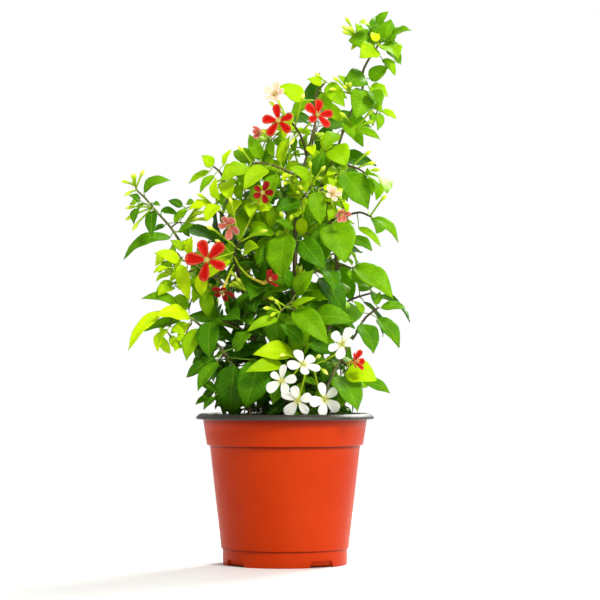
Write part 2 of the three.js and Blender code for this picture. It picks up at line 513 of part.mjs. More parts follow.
// path: the green stem. leaves: base, tip, width, and arch where it isn't the usual one.
// buds: foot and tip of each closed bud with its stalk. tubes: foot and name of each bloom carried.
// pairs: how many opposite pairs grow by rule, and between which shares of the stem.
const SHOOTS = {
  shoot_top: {
    path: [[66, 0, 403], [66, -1, 416], [70, -1, 426], [78, -1, 438], [80, -1, 444]],
    leaves: [
      [[79, 4, 442], [78, 12, 467], 23],
      [[82, 0, 443], [90, -2, 462], 18],
      [[75, 2, 443], [61, 6, 457], 22],
      [[76, -6, 440], [54, -12, 443], 24],
      [[76, -16, 436], [63, -30, 426], 19],
      [[82, -10, 439], [95, -21, 426], 23],
      [[87, -8, 443], [106, -16, 450], 17],
      [[86, 4, 438], [99, 10, 425], 15],
      [[77, -14, 441], [74, -26, 450], 9],
      [[66, -9, 401], [60, -24, 375], 22],
      [[68, -5, 412], [50, -12, 405], 20],
      [[72, -3, 411], [87, -8, 421], 14],
      [[83, 2, 428], [94, 4, 415], 12],
      [[72, -4, 403], [88, -10, 397], 16],
      [[72, -16, 399], [81, -28, 386], 15],
    ],
    buds: [],
    tubes: [],
    pairs: [0, 0, 1],
  },
  shoot_crown: {
    path: [[22, -10, 358], [26, -3, 376], [26, -4, 396], [34, -6, 408]],
    leaves: [
      [[37, -9, 406], [50, -18, 386], 15],
      [[32, -5, 399], [38, -14, 380], 12],
      [[16, -9, 392], [-6, -12, 404], 16],
      [[31, -8, 406], [19, -12, 410], 9],
      [[22, 2, 392], [4, 12, 378], 15],
      [[31, 2, 388], [50, 10, 376], 14],
    ],
    buds: [[[34, -6, 408], [25, -8, 415]]],
    tubes: [],
    pairs: [1, 0.3, 0.6],
  },
  spray_crown: {
    path: [[18, -12, 345], [15, -19, 357], [9, -22, 368], [1, -22, 377]],
    leaves: [[[6, -20, 380], [-1, -26, 356], 10]],
    buds: [
      [[4, -20, 376], [-14, -22, 390]],
      [[9, -22, 368], [16, -32, 396]],
      [[12, -21, 363], [4, -32, 352]],
    ],
    tubes: [
      [[1, -22, 377], "bloom_crown_left"],
      [[12, -21, 363], "bloom_crown_right"],
      [[0, -22, 378], "bloom_crown_faded"],
      [[6, -22, 372], "bloom_crown_pink"],
    ],
    pairs: [0, 0, 1],
  },
  shoot_shoulder: {
    path: [[49, 0, 366], [54, -7, 370], [61, -12, 369]],
    leaves: [
      [[50, -8, 376], [66, -18, 352], 15],
      [[62, -16, 366], [80, -19, 357], 9],
      [[44, -10, 364], [33, -22, 350], 14],
    ],
    buds: [
      [[61, -12, 369], [75, -14, 384]],
      [[61, -12, 368], [76, -13, 374]],
      [[60, -12, 367], [71, -18, 366]],
      [[58, -10, 369], [46, -18, 381]],
    ],
    tubes: [],
    pairs: [0, 0, 1],
  },
  shoot_right_high: {
    path: [[42, 0, 343], [51, -8, 338], [62, -10, 334], [68, -10, 330]],
    leaves: [
      [[40, -10, 352], [52, -22, 336], 22],
      [[50, -15, 330], [70, -30, 299], 27],
      [[68, -12, 326], [74, -16, 311], 11],
    ],
    buds: [
      [[56, -9, 337], [73, -12, 349]],
      [[61, -10, 335], [77, -11, 339]],
      [[67, -10, 331], [81, -12, 333]],
      [[68, -10, 330], [64, -17, 313]],
    ],
    tubes: [],
    pairs: [1, 0.5, 0.9],
  },
  shoot_right_middle: {
    path: [[38, -2, 290], [50, -9, 294], [63, -10, 297], [72, -8, 294]],
    leaves: [
      [[41, -26, 287], [50, -46, 254], 32],
      [[74, -6, 292], [96, -12, 272], 11, 0.25],
      [[62, -13, 284], [81, -18, 268], 8],
      [[55, -16, 274], [73, -26, 264], 14],
    ],
    buds: [[[72, -8, 295], [86, -12, 312]]],
    tubes: [
      [[48, -8, 293], "bloom_right_cream"],
      [[52, -9, 294], "bloom_right_faded"],
    ],
    pairs: [1, 0.5, 0.9],
  },
  shoot_right_low: {
    path: [[44, -3, 252], [50, -8, 252], [56, -10, 250]],
    leaves: [
      [[59, -12, 251], [91, -24, 225], 24],
      [[52, -14, 245], [72, -16, 234], 12],
      [[57, -2, 248], [84, 14, 240], 20],
    ],
    buds: [],
    tubes: [],
    pairs: [0, 0, 1],
  },
  shoot_low_right: {
    path: [[60, -21, 196], [68, -20, 208], [78, -20, 216]],
    leaves: [
      [[81, -20, 216], [102, -22, 216], 9, 0.2],
      [[76, -22, 219], [80, -26, 230], 6],
      [[78, -21, 207], [96, -30, 183], 16],
      [[64, -26, 202], [74, -38, 178], 19],
      [[66, -16, 212], [58, -18, 222], 7],
    ],
    buds: [],
    tubes: [],
    pairs: [0, 0, 1],
  },
  shoot_rim_right: {
    path: [[47, -26, 173], [54, -32, 166], [60, -36, 160]],
    leaves: [
      [[52, -44, 163], [76, -54, 156], 24],
      [[66, -32, 156], [88, -36, 145], 12],
      [[44, -42, 158], [60, -60, 131], 26],
      [[50, -24, 160], [70, -12, 150], 17],
    ],
    buds: [],
    tubes: [[[56, -33, 164], "bloom_low_orange"]],
    pairs: [0, 0, 1],
  },
  shoot_middle: {
    path: [[8, -15, 220], [7, -30, 222], [2, -42, 218], [-4, -50, 212]],
    leaves: [
      [[8, -46, 214], [36, -64, 186], 21],
      [[-6, -52, 206], [-31, -62, 196], 10],
      [[6, -47, 217], [25, -60, 224], 7],
      [[10, -34, 228], [24, -46, 246], 17],
    ],
    buds: [
      [[-4, -50, 212], [-18, -60, 215]],
      [[-4, -50, 212], [-12, -62, 208]],
      [[-3, -49, 213], [-8, -60, 222]],
      [[1, -44, 217], [-14, -54, 224]],
      [[5, -36, 220], [19, -54, 204]],
    ],
    tubes: [],
    pairs: [0, 0, 1],
  },
  spray_white: {
    path: [[4, -13, 168], [10, -30, 172], [18, -44, 172], [24, -50, 168]],
    leaves: [
      [[6, -36, 180], [-26, -58, 177], 19],
      [[-2, -44, 168], [-32, -66, 163], 14],
      [[-1, -28, 164], [-10, -46, 136], 22],
    ],
    buds: [
      [[24, -50, 168], [36, -62, 160]],
      [[22, -48, 170], [30, -62, 176]],
      [[14, -38, 173], [-4, -60, 176]],
    ],
    tubes: [
      [[14, -37, 172], "bloom_white_left"],
      [[18, -44, 172], "bloom_white_top"],
      [[24, -50, 168], "bloom_white_right"],
      [[20, -46, 171], "bloom_white_low"],
      [[24, -50, 168], "bloom_white_corner"],
    ],
    pairs: [0, 0, 1],
  },
  shoot_centre_low: {
    path: [[8, -16, 258], [6, -26, 268], [2, -36, 276]],
    leaves: [
      [[0, -42, 277], [-3, -56, 239], 29],
      [[7, -40, 282], [-8, -52, 288], 9],
      [[14, -33, 272], [34, -48, 248], 20],
      [[-4, -30, 268], [-24, -44, 252], 16],
    ],
    buds: [
      [[2, -36, 276], [6, -50, 293]],
      [[2, -36, 277], [-4, -46, 296]],
    ],
    tubes: [],
    pairs: [0, 0, 1],
  },
  shoot_centre_high: {
    path: [[10, -16, 302], [16, -26, 310], [22, -32, 318]],
    leaves: [
      [[24, -38, 312], [30, -50, 285], 16],
      [[20, -38, 324], [4, -50, 332], 12],
      [[26, -32, 326], [32, -40, 346], 14],
      [[12, -28, 304], [-8, -40, 296], 15],
    ],
    buds: [
      [[22, -32, 318], [21, -44, 338]],
      [[22, -32, 318], [34, -42, 334]],
      [[16, -27, 311], [0, -40, 322]],
      [[14, -24, 308], [10, -44, 312]],
    ],
    tubes: [],
    pairs: [0, 0, 1],
  },
  shoot_upper_left: {
    path: [[14, -14, 326], [0, -22, 332], [-14, -24, 337], [-28, -22, 338]],
    leaves: [
      [[-30, -25, 334], [-54, -34, 322], 18],
      [[-16, -30, 333], [-34, -42, 314], 17],
      [[-20, -20, 342], [-30, -28, 362], 12],
      [[-3, -20, 338], [4, -30, 362], 13],
      [[-8, -26, 328], [-12, -38, 304], 14],
      [[-26, -14, 340], [-44, 2, 350], 14],
    ],
    buds: [[[-28, -22, 338], [-40, -26, 352]]],
    tubes: [],
    pairs: [0, 0, 1],
  },
  shoot_left_top: {
    path: [[-50, -6, 318], [-54, -6, 330], [-60, -7, 336]],
    leaves: [
      [[-61, -9, 337], [-70, -14, 345], 11],
      [[-52, -10, 337], [-45, -16, 350], 7],
      [[-60, -10, 328], [-72, -14, 314], 9],
      [[-64, -6, 332], [-82, -6, 322], 8],
      [[-48, -14, 324], [-46, -30, 306], 16],
      [[-50, 2, 330], [-36, 16, 340], 15],
    ],
    buds: [[[-52, -6, 326], [-64, -10, 318]]],
    tubes: [],
    pairs: [0, 0, 1],
  },
  shoot_left_upper: {
    path: [[-46, -7, 288], [-54, -14, 296], [-60, -20, 302]],
    leaves: [
      [[-64, -20, 305], [-81, -24, 299], 10],
      [[-56, -26, 302], [-66, -40, 288], 14],
      [[-56, -22, 307], [-58, -32, 324], 12],
      [[-48, -20, 296], [-36, -34, 306], 14],
    ],
    buds: [[[-60, -20, 302], [-74, -26, 312]]],
    tubes: [[[-50, -11, 292], "bloom_left_pink"]],
    pairs: [0, 0, 1],
  },
  spray_left: {
    path: [[-38, -7, 242], [-42, -22, 252], [-42, -34, 262], [-38, -36, 272]],
    leaves: [
      [[-46, -30, 256], [-66, -34, 240], 14],
      [[-34, -36, 262], [-22, -52, 266], 15],
    ],
    buds: [
      [[-38, -36, 272], [-46, -42, 308]],
      [[-41, -35, 266], [-66, -40, 284]],
      [[-38, -36, 270], [-14, -46, 280]],
      [[-42, -31, 260], [-58, -48, 272]],
    ],
    tubes: [
      [[-42, -34, 262], "bloom_left_star"],
      [[-42, -24, 253], "bloom_left_under"],
      [[-40, -30, 258], "bloom_middle_side"],
      [[-38, -36, 272], "bloom_upper_dark"],
    ],
    pairs: [0, 0, 1],
  },
  shoot_left_middle: {
    path: [[-54, -12, 238], [-66, -18, 246], [-78, -20, 254], [-86, -21, 256]],
    leaves: [
      [[-89, -22, 255], [-109, -28, 262], 12],
      [[-88, -26, 252], [-80, -34, 222], 13],
      [[-80, -24, 260], [-78, -30, 276], 9],
      [[-82, -16, 250], [-98, -16, 238], 9],
      [[-70, -24, 244], [-70, -38, 226], 12],
      [[-66, -12, 252], [-72, 2, 268], 15],
    ],
    buds: [],
    tubes: [],
    pairs: [0, 0, 1],
  },
  shoot_branch: {
    path: [[-89, -10, 273], [-97, -10, 285], [-106, -9, 295], [-117, -8, 308], [-125, -6, 316],
      [-127, -6, 321]],
    leaves: [
      [[-97, -9, 276], [-137, -10, 258], 13, 0.22],
      [[-119, -14, 314], [-96, -18, 324], 12, 0.24],
      [[-111, -16, 298], [-111, -32, 276], 12],
      [[-104, -15, 299], [-90, -20, 295], 7],
      [[-89, -16, 280], [-76, -20, 287], 7],
      [[-93, -14, 288], [-83, -18, 301], 8],
      [[-102, -5, 286], [-112, 2, 282], 6],
    ],
    buds: [
      [[-126, -6, 319], [-130, -7, 330]],
      [[-126, -6, 318], [-119, -8, 334]],
      [[-126, -6, 320], [-139, -6, 324]],
      [[-126, -6, 319], [-127, -15, 330]],
      [[-125, -6, 317], [-136, -11, 311]],
      [[-126, -6, 319], [-130, 4, 324]],
      [[-112, -9, 302], [-135, -15, 300]],
      [[-112, -9, 302], [-135, -12, 290]],
      [[-111, -9, 301], [-129, -14, 281]],
    ],
    tubes: [],
    pairs: [0, 0, 1],
  },
  shoot_low_left: {
    path: [[-62, -23, 192], [-74, -22, 204], [-86, -22, 212], [-98, -24, 216]],
    leaves: [
      [[-90, -24, 218], [-120, -30, 224], 10, 0.25],
      [[-80, -28, 208], [-107, -34, 210], 17],
      [[-101, -26, 213], [-131, -36, 181], 13, 0.16],
      [[-88, -16, 206], [-124, -16, 196], 10],
      [[-72, -28, 198], [-82, -40, 172], 17],
      [[-82, -12, 216], [-96, 4, 226], 13],
      [[-62, -32, 204], [-62, -50, 174], 22],
    ],
    buds: [],
    tubes: [],
    pairs: [0, 0, 1],
  },
  shoot_rim_left: {
    path: [[-46, -28, 172], [-50, -38, 176], [-52, -46, 178]],
    leaves: [
      [[-58, -40, 174], [-82, -42, 158], 14],
      [[-56, -48, 170], [-72, -60, 147], 14],
      [[-42, -40, 168], [-46, -32, 126], 30],
      [[-42, -46, 182], [-28, -64, 194], 16],
      [[-22, -46, 172], [-33, -56, 132], 28],
      [[-56, -30, 182], [-80, -26, 186], 14],
    ],
    buds: [],
    tubes: [],
    pairs: [0, 0, 1],
  },
};

// Shoots by rule: on which stem, where along it, its heading in degrees from +X, and its length.
const FILLERS = [
  ["stem_back", 0.3, 60, 34],
  ["stem_back", 0.4, 150, 38],
  ["stem_back", 0.5, 10, 36],
  ["stem_back", 0.6, 100, 36],
  ["stem_back", 0.7, 190, 34],
  ["stem_back", 0.8, 40, 34],
  ["stem_back", 1, 80, 24],
  ["stem_right", 0.3, 20, 36],
  ["stem_left", 0.36, 225, 36],
  ["stem_left", 0.7, 120, 30],
  ["stem_centre", 0.24, 240, 22],
  ["stem_centre", 0.38, 200, 28],
  ["stem_centre", 0.46, 345, 26],
  ["stem_back", 0.2, 95, 30],
];

function addFillers() {
  FILLERS.forEach(([stem, share, heading, length], i) => {
    const curve = new THREE.CatmullRomCurve3(
      WOOD[stem][0].points.map((p) => vec(...p)),
      false,
      "catmullrom",
      0.5,
    );
    const start = curve.getPoint(share);
    const angle = THREE.MathUtils.degToRad(heading);
    const way = vec(Math.cos(angle), Math.sin(angle), 0);
    const middle = start.clone().addScaledVector(way, 0.5 * length);
    const end = start.clone().addScaledVector(way, length);
    middle.z += 0.25 * length;
    end.z += 0.4 * length;
    const path = [start, middle, end].map((p) => p.toArray());
    SHOOTS["shoot_filler_" + (i + 1)] = { path, leaves: [], buds: [], tubes: [], pairs: [3, 0.35, 1] };
  });
}

// What already stands in the way of the next leaf.
const standing = [];

function stand(owner, kind, points) {
  const ball = new THREE.Sphere().setFromPoints(points);
  standing.push({ owner, kind, points, ball });
}

function clearOf(points, owner) {
  const ball = new THREE.Sphere().setFromPoints(points);
  return standing.every((other) => {
    const own = other.owner === owner;
    if (own && other.kind === "stem") return true;
    const gap = own ? OWN_GAP : LEAF_GAP;
    if (ball.center.distanceTo(other.ball.center) > ball.radius + other.ball.radius + gap) return true;
    return points.every((p) => other.points.every((q) => p.distanceToSquared(q) >= gap * gap));
  });
}

// Leaves keep above the soil and outside the pot's lip.
function clearOfPot(points) {
  return points.every((p) => {
    const radius = Math.hypot(p.x, p.y);
    return radius < 60 ? p.z > SOIL_TOP + 5 : p.z > POT_HEIGHT + 2;
  });
}

// The middle of the foliage at a height, which leans to the right as it rises.
function bushMiddle(z) {
  return vec(THREE.MathUtils.mapLinear(z, 130, 440, 0, 62), 0, z);
}

// Where a leaf's upper side would like to look: up, and away from the middle of the foliage.
function facing(base, frontness) {
  const out = base.clone().sub(bushMiddle(base.z));
  out.z = 0;
  out.normalize();
  return vec(OUTWARDNESS * out.x, OUTWARDNESS * out.y - frontness, UPWARDNESS).normalize();
}

function nearest(points, target) {
  return points.reduce((a, b) => (a.distanceTo(target) <= b.distanceTo(target) ? a : b));
}

// One placed leaf of the photographed kind: its tip is bent nearer or farther until it stands clear.
function placedLeaf(owner, path, [base, tip, width, arch = LEAF_ARCH]) {
  for (let k = 0; k < TRIES; k++) {
    const bend = k === 0 ? 0 : spread(8 + 4 * k);
    const shift = k === 0 ? 0 : spread(2 + k);
    const roll = k === 0 ? 0 : spread(0.12 * k);
    const from = vec(...base).add(vec(0, shift, 0));
    const to = vec(...tip).add(vec(0, bend, 0));
    const face = facing(from, FRONTNESS).add(vec(roll, 0, 0)).normalize();
    const leaf = leafFrame(nearest(path.slice(1), from), from, to, width, arch, face);
    if (width > FINE_WIDTH) leaf.stations = [0.16, 0.42, 0.74];
    leaf.stalked = true;
    const cloud = leafCloud(leaf);
    if (clearOfPot(cloud) && clearOf(cloud, owner)) {
      stand(owner, "leaf", cloud);
      return leaf;
    }
  }
  return null;
}

// A leaf of an opposite pair that grows by rule, at a point of its stem.
function ruleLeaf(owner, path, index, quarter, size) {
  const root = path[index];
  const stem = path[Math.min(index + 1, path.length - 1)].clone().sub(path[index - 1]).normalize();
  const level = vec(-stem.y, stem.x, 0).normalize();
  const over = stem.clone().cross(level);
  for (let k = 0; k < TRIES; k++) {
    const angle = quarter + spread(0.3 + 0.1 * k);
    const droop = 0.35 + spread(0.3 + 0.06 * k);
    const length = size * (1 - 0.25 * random());
    const out = level.clone().multiplyScalar(Math.cos(angle)).addScaledVector(over, Math.sin(angle));
    const base = root.clone().addScaledVector(out, STALK_OUT).addScaledVector(stem, STALK_ALONG);
    const way = out.clone().addScaledVector(stem, 0.5).add(vec(0, 0, -droop)).normalize();
    const tip = base.clone().addScaledVector(way, length);
    const leaf = leafFrame(root, base, tip, RULE_WIDTH * length, LEAF_ARCH, facing(base, 0));
    const cloud = leafCloud(leaf);
    if (clearOfPot(cloud) && clearOf(cloud, owner)) {
      stand(owner, "leaf", cloud);
      return leaf;
    }
  }
  return null;
}

function shootLeaves(name, shoot) {
  const leaves = shoot.leaves.map((wish) => placedLeaf(name, shoot.line, wish));
  const [count, from, to] = shoot.pairs;
  for (let k = 0; k < count; k++) {
    const share = count === 1 ? to : from + ((to - from) * k) / (count - 1);
    const index = Math.max(1, Math.round(share * (shoot.line.length - 1)));
    const quarter = (k % 2) * (Math.PI / 2);
    const size = THREE.MathUtils.lerp(LONG_LEAF, SHORT_LEAF, share);
    leaves.push(ruleLeaf(name, shoot.line, index, quarter, size));
    leaves.push(ruleLeaf(name, shoot.line, index, quarter + Math.PI, size));
  }
  return leaves.filter(Boolean);
}

// A closed bud: its thin stalk, its swollen head and its point.
function budPoints(from, to) {
  const length = from.distanceTo(to);
  const head = Math.min(BUD_LENGTH, 0.6 * length) / length;
  const at = (t) => mix(from, to, t).add(vec(0, 0, BUD_SAG * t * (1 - t) * length));
  return [at(0), at(1 - head), at(1 - head / 2), at(1)];
}

// The tube behind a bloom, from the shoot to just under the petals.
function flowerTube(from, bloom) {
  const end = bloom.centre.clone().addScaledVector(bloom.out, -GAP - 0.05);
  const before = end.clone().addScaledVector(bloom.out, -3);
  const middle = mix(from, before, TUBE_BEND).addScaledVector(bloom.out, -TUBE_DIP * from.distanceTo(before));
  const points = smooth([from, middle, before], 3);
  return [...points, end];
}

function shootSolid(shoot, cutters) {
  const line = shoot.line;
  const radii = line.map((p, i) => SHOOT_RADIUS * (1 - (0.3 * i) / (line.length - 1)));
  const end = line[line.length - 1];
  const point = end.clone().add(end.clone().sub(line[line.length - 2]).setLength(SHOOT_TIP));
  const solids = [tube([...line, point], [...radii, SHOOT_RADIUS / 3], SHOOT_SIDES)];
  shoot.grown.forEach((leaf) => solids.push(leafSolid(leaf)));
  shoot.buds.forEach((centres) => solids.push(tube(centres, BUD_RADII, SHOOT_SIDES)));
  shoot.tubes.forEach((centres) => {
    const flare = centres.map((c, i) => TUBE_RADIUS + TUBE_FLARE * i);
    solids.push(tube(centres, flare, SHOOT_SIDES));
  });
  const whole = cutters.reduce((solid, cutter) => solid.subtract(cutter), joined(solids));
  return joined([whole]);
}

// The plant, in order: blooms, stems and buds take their places first, then the leaves fill in.

const plant = new THREE.Group();

function addMesh(name, solid, colour, roughness) {
  const material = new THREE.MeshStandardMaterial({ color: COLOURS[colour], roughness, metalness: 0 });
  const mesh = new THREE.Mesh(geometryOf(solid), material);
  mesh.name = name;
  plant.add(mesh);
}

const fatWood = Object.values(WOOD).map((limbs) => woodSolid(limbs, GAP));
addMesh("pot", potSolid(), "pot", 0.45);
addMesh("soil", fatWood.reduce((soil, stem) => soil.subtract(stem), soilSolid()), "soil", 0.95);
for (const [name, limbs] of Object.entries(WOOD)) {
  addMesh(name, woodSolid(limbs, 0), "wood", 0.75);
  limbs.forEach((limb) => stand(name, "wood", smooth(limb.points.map((p) => vec(...p)), 60)));
}

const blooms = {};
for (const entry of BLOOMS) {
  const bloom = bloomFrame(entry);
  blooms[bloom.name] = bloom;
  stand(bloom.name, "bloom", bloomCloud(bloom));
  addMesh(bloom.name, bloomSolid(bloom), bloom.colour, 0.6);
}

addFillers();
for (const [name, shoot] of Object.entries(SHOOTS)) {
  shoot.line = smooth(shoot.path.map((p) => vec(...p)), Math.round(SHOOT_STEPS * (shoot.path.length - 1)));
  const fine = smooth(shoot.path.map((p) => vec(...p)), 16);
  shoot.buds = shoot.buds.map(([foot, tip]) => budPoints(nearest(fine, vec(...foot)), vec(...tip)));
  shoot.tubes = shoot.tubes.map(([foot, bloom]) => flowerTube(nearest(fine, vec(...foot)), blooms[bloom]));
  stand(name, "stem", fine);
  [...shoot.buds, ...shoot.tubes].forEach((centres) => stand(name, "stem", smooth(centres, 12)));
}
for (const [name, shoot] of Object.entries(SHOOTS)) {
  shoot.grown = shootLeaves(name, shoot);
  addMesh(name, shootSolid(shoot, fatWood), "leaf", 0.5);
}

export default plant;
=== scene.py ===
"""A young rangoon creeper in a plastic nursery pot, dressed for its picture.

The plant grows by the same rules as its solids: blooms, stems and buds take their places first,
and the leaves fill in. Its places and sizes are in millimetres, and MM turns them to metres.
The pot's foot stands on z = 0, and the plant's front faces -Y.
"""

import math
from collections import namedtuple
from types import SimpleNamespace

import bpy
import numpy as np
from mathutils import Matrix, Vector


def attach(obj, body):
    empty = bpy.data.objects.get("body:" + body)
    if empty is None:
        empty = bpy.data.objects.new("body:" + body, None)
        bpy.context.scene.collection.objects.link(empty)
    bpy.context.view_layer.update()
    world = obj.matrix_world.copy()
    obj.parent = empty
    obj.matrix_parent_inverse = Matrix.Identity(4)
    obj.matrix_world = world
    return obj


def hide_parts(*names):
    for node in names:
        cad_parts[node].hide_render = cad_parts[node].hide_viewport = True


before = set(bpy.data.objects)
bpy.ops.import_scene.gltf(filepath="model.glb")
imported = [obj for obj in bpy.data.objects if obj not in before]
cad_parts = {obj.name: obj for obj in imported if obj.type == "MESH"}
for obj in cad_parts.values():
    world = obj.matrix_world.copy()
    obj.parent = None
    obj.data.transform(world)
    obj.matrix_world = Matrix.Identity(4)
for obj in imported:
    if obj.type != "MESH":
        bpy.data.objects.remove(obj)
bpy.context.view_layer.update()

MM = 0.001

# Driving dimensions in millimetres, and the shares and limits of growth, the same as the solids have
GAP = 0.3  # between pieces that touch
POT_HEIGHT = 128
POT_WALL = 1.5
FOOT_RADIUS = 52.5
FOOT_HEIGHT = 13.4
BODY_RADIUS_LOW = 54
BODY_RADIUS_HIGH = 63.5
BAND_BOTTOM = 100.5
BAND_RADIUS_LOW = 66.2
BAND_RADIUS_HIGH = 69.4
LIP_RADIUS = 75.4
LIP_HEIGHT = 5.5
NOTCH_WIDTH = 25
NOTCH_HEIGHT = 5.5
NOTCH_ANGLES = [-53.5, 36.5, 126.5, 216.5]  # degrees from the front, towards +X
NOTCH_INNER_RADIUS = 44
NOTCH_DEPTH = 14  # from its inner radius out past the wall
SOIL_TOP = 117
SOIL_RADIUS = 66
SOIL_RELIEF = 1.4
LEAF_PEAK = 0.3978  # what the formula of a leaf's outline comes to at its widest place
LEAF_FOLD = 0.3  # rise of a leaf's edge for each mm of half width
LEAF_ARCH = 0.1  # height of a leaf's arch for each mm of length
OUTWARDNESS = 0.45  # how far a leaf's upper side turns away from the middle of the plant
UPWARDNESS = 0.6  # and up
FRONTNESS = 0.9  # and to the front, on placed leaves
LEAF_GAP = 4.2  # least distance kept from the leaves, stems and blooms of other pieces
OWN_GAP = 2.4  # the same among the leaves of one shoot
TRIES = 16
LONG_LEAF = 50  # leaves by rule, at the foot of a shoot
SHORT_LEAF = 38  # and at its tip
RULE_WIDTH = 0.6  # of such a leaf, for each mm of length
STALK_OUT = 6  # where its blade begins, away from its stem
STALK_ALONG = 3  # and along it
SHOOT_RADIUS = 1.15
SHOOT_TIP = 1.6  # the stem runs on past its last leaves
SHOOT_STEPS = 1.5  # steps of its line for each stretch of its path
BUD_SAG = 0.24  # how high a bud's stalk arches, for each mm of length
TUBE_BEND = 0.55  # where a flower's tube turns to its bloom
TUBE_DIP = 0.12  # and how far behind the bloom it runs there
BUD_LENGTH = 9
POT_MOUTH = 60  # leaves nearer the axis keep above the soil, and the others above the rim
OVER_SOIL = 5
OVER_RIM = 2
BUSH_FOOT = 130
BUSH_TOP = 440
BUSH_LEAN = 62  # how far the middle of the foliage goes right from foot to top
PETALS = 5
PETAL_THICKNESS = 0.7
PETAL_TURN = 18  # how far a petal's angle wanders, in degrees
PETAL_UNEVENNESS = 0.3  # and its length
PETAL_CUP = 0.8  # how far its sides stand forward
SEED = 2024

# Sizes of the finer forms in millimetres, their counts, and the seeds of their draws
BLADE_THICKNESS = 0.4
STALK_RADIUS = 0.5
TIP_NARROWING = 0.22  # how a fine leaf departs from its plain form, as shares of its width or length
TIP_DROOP = 0.03
EDGE_WAVE = 0.045
EDGE_RIPPLE = 0.011
LEAF_SWAY = 0.07
PETAL_HALF = 0.41  # half width of a petal for each mm of length
PETAL_CURL = 0.05
STAMEN_HEIGHTS = (3.6, 2.6)
POT_SIDES = 128
INNER_SIDES = 96  # of the soil, and of the lining of the foot
SOIL_RINGS = 34
DRESSING_SEED = 4711
CRUMB_SEED = 31
INFILL_SEED = 77
INFILL_GAP = 1.8  # least distance kept by the leaves that fill the bush
TWIG_GAP = 0.9
TWIG_REACH = (8, 42)  # nearest and farthest start of a twig from the place it fills
TWIG_RADIUS = 0.75
TWIG_STALK_OUT = 3.2
TWIG_STALK_ALONG = 2
TWIG_TRIES = 6
TWIG_WISHES = 9700
LOWEST_TWIG = 124
LOW_TWIG_TOP = 170  # the first wishes all lie below this height
LOW_WISHES = 2200
BUD_HEIGHT = 215  # buds stand on the twigs above this height
BUD_SHARE = 0.5
BUD_GAP = 1.2
CRUMBS = 420
NUDGE = 1e-6  # gives an upright twig a level direction too


# Vectors and random draws


def vec(*values):
    return np.array(values, float)


def unit(v):
    return v / np.linalg.norm(v)


def length_of(v):
    return float(np.linalg.norm(v))


def ease(low, high, x):
    """Runs smoothly from 0 at low to 1 at high."""
    t = np.clip((x - low) / (high - low), 0, 1)
    return t * t * (3 - 2 * t)


class Draws:
    """Random numbers between 0 and 1, the same on each run."""

    def __init__(self, seed):
        self.state = seed

    def share(self):
        self.state = (self.state * 1664525 + 1013904223) % 4294967296
        return self.state / 4294967296

    def spread(self, size):
        return (self.share() - 0.5) * size


draws = Draws(SEED)
dressing = Draws(DRESSING_SEED)  # the draws of what is only dressing, apart from the growth


def curve_point(knots, t):
    """The point at share t of a smooth curve through the knots."""
    last = len(knots) - 1
    index = min(int(last * t), last - 1)
    weight = last * t - index
    here, after = knots[index], knots[index + 1]
    before = knots[index - 1] if index > 0 else 2 * knots[0] - knots[1]
    beyond = knots[index + 2] if index + 2 <= last else 2 * knots[last] - knots[last - 1]
    leave = 0.5 * (after - before)
    reach = 0.5 * (beyond - here)
    square = -3 * here + 3 * after - 2 * leave - reach
    cube = 2 * here - 2 * after + leave + reach
    return here + leave * weight + square * weight**2 + cube * weight**3


def smooth(points, steps):
    """Points along a smooth curve through the given ones."""
    knots = [np.asarray(p, float) for p in points]
    return np.array([curve_point(knots, i / steps) for i in range(steps + 1)])


def nearest(points, target):
    return points[int(np.argmin(np.linalg.norm(points - target, axis=1)))]


def square_to(stem, angle, nudge=0.0):
    """The direction square to a stem at an angle round it, counted from level."""
    level = unit(vec(-stem[1], stem[0], 0) + nudge)
    return level * math.cos(angle) + np.cross(stem, level) * math.sin(angle)


# The plant's pieces and their places

# A limb of wood: its radius at the foot and at the end, and its path.
Limb = namedtuple("Limb", "foot end path")
WOOD = {
    "stem_right": [Limb(2.4, 0.9, [
        (16, 4, 92), (20, 3, 140), (34, 1, 190), (42, -2, 225), (44, -3, 256), (38, -2, 290),
        (31, -1, 322), (41, 0, 342), (52, 0, 374), (66, 0, 403),
    ])],
    "stem_centre": [Limb(2.2, 0.9, [
        (-2, -8, 92), (2, -12, 150), (6, -14, 200), (8, -16, 250), (10, -16, 300), (16, -13, 335),
        (22, -10, 358),
    ])],
    "stem_left": [
        Limb(2.1, 0.9, [
            (-16, 0, 92), (-20, -2, 150), (-28, -5, 200), (-38, -7, 240), (-45, -7, 280), (-50, -6, 320),
        ]),
        Limb(1.5, 1, [(-30, -6, 208), (-54, -12, 238), (-74, -12, 258), (-89, -10, 273)]),
    ],
    "stem_back": [Limb(2.1, 0.9, [
        (2, 14, 92), (6, 26, 160), (8, 34, 220), (10, 34, 280), (16, 26, 330), (26, 16, 368),
    ])],
    "stem_low_left": [Limb(1.7, 1, [(-22, -22, 92), (-32, -28, 140), (-46, -28, 172), (-66, -22, 196)])],
    "stem_low_right": [Limb(1.7, 1, [(22, -20, 92), (32, -28, 140), (46, -26, 172), (62, -20, 198)])],
}

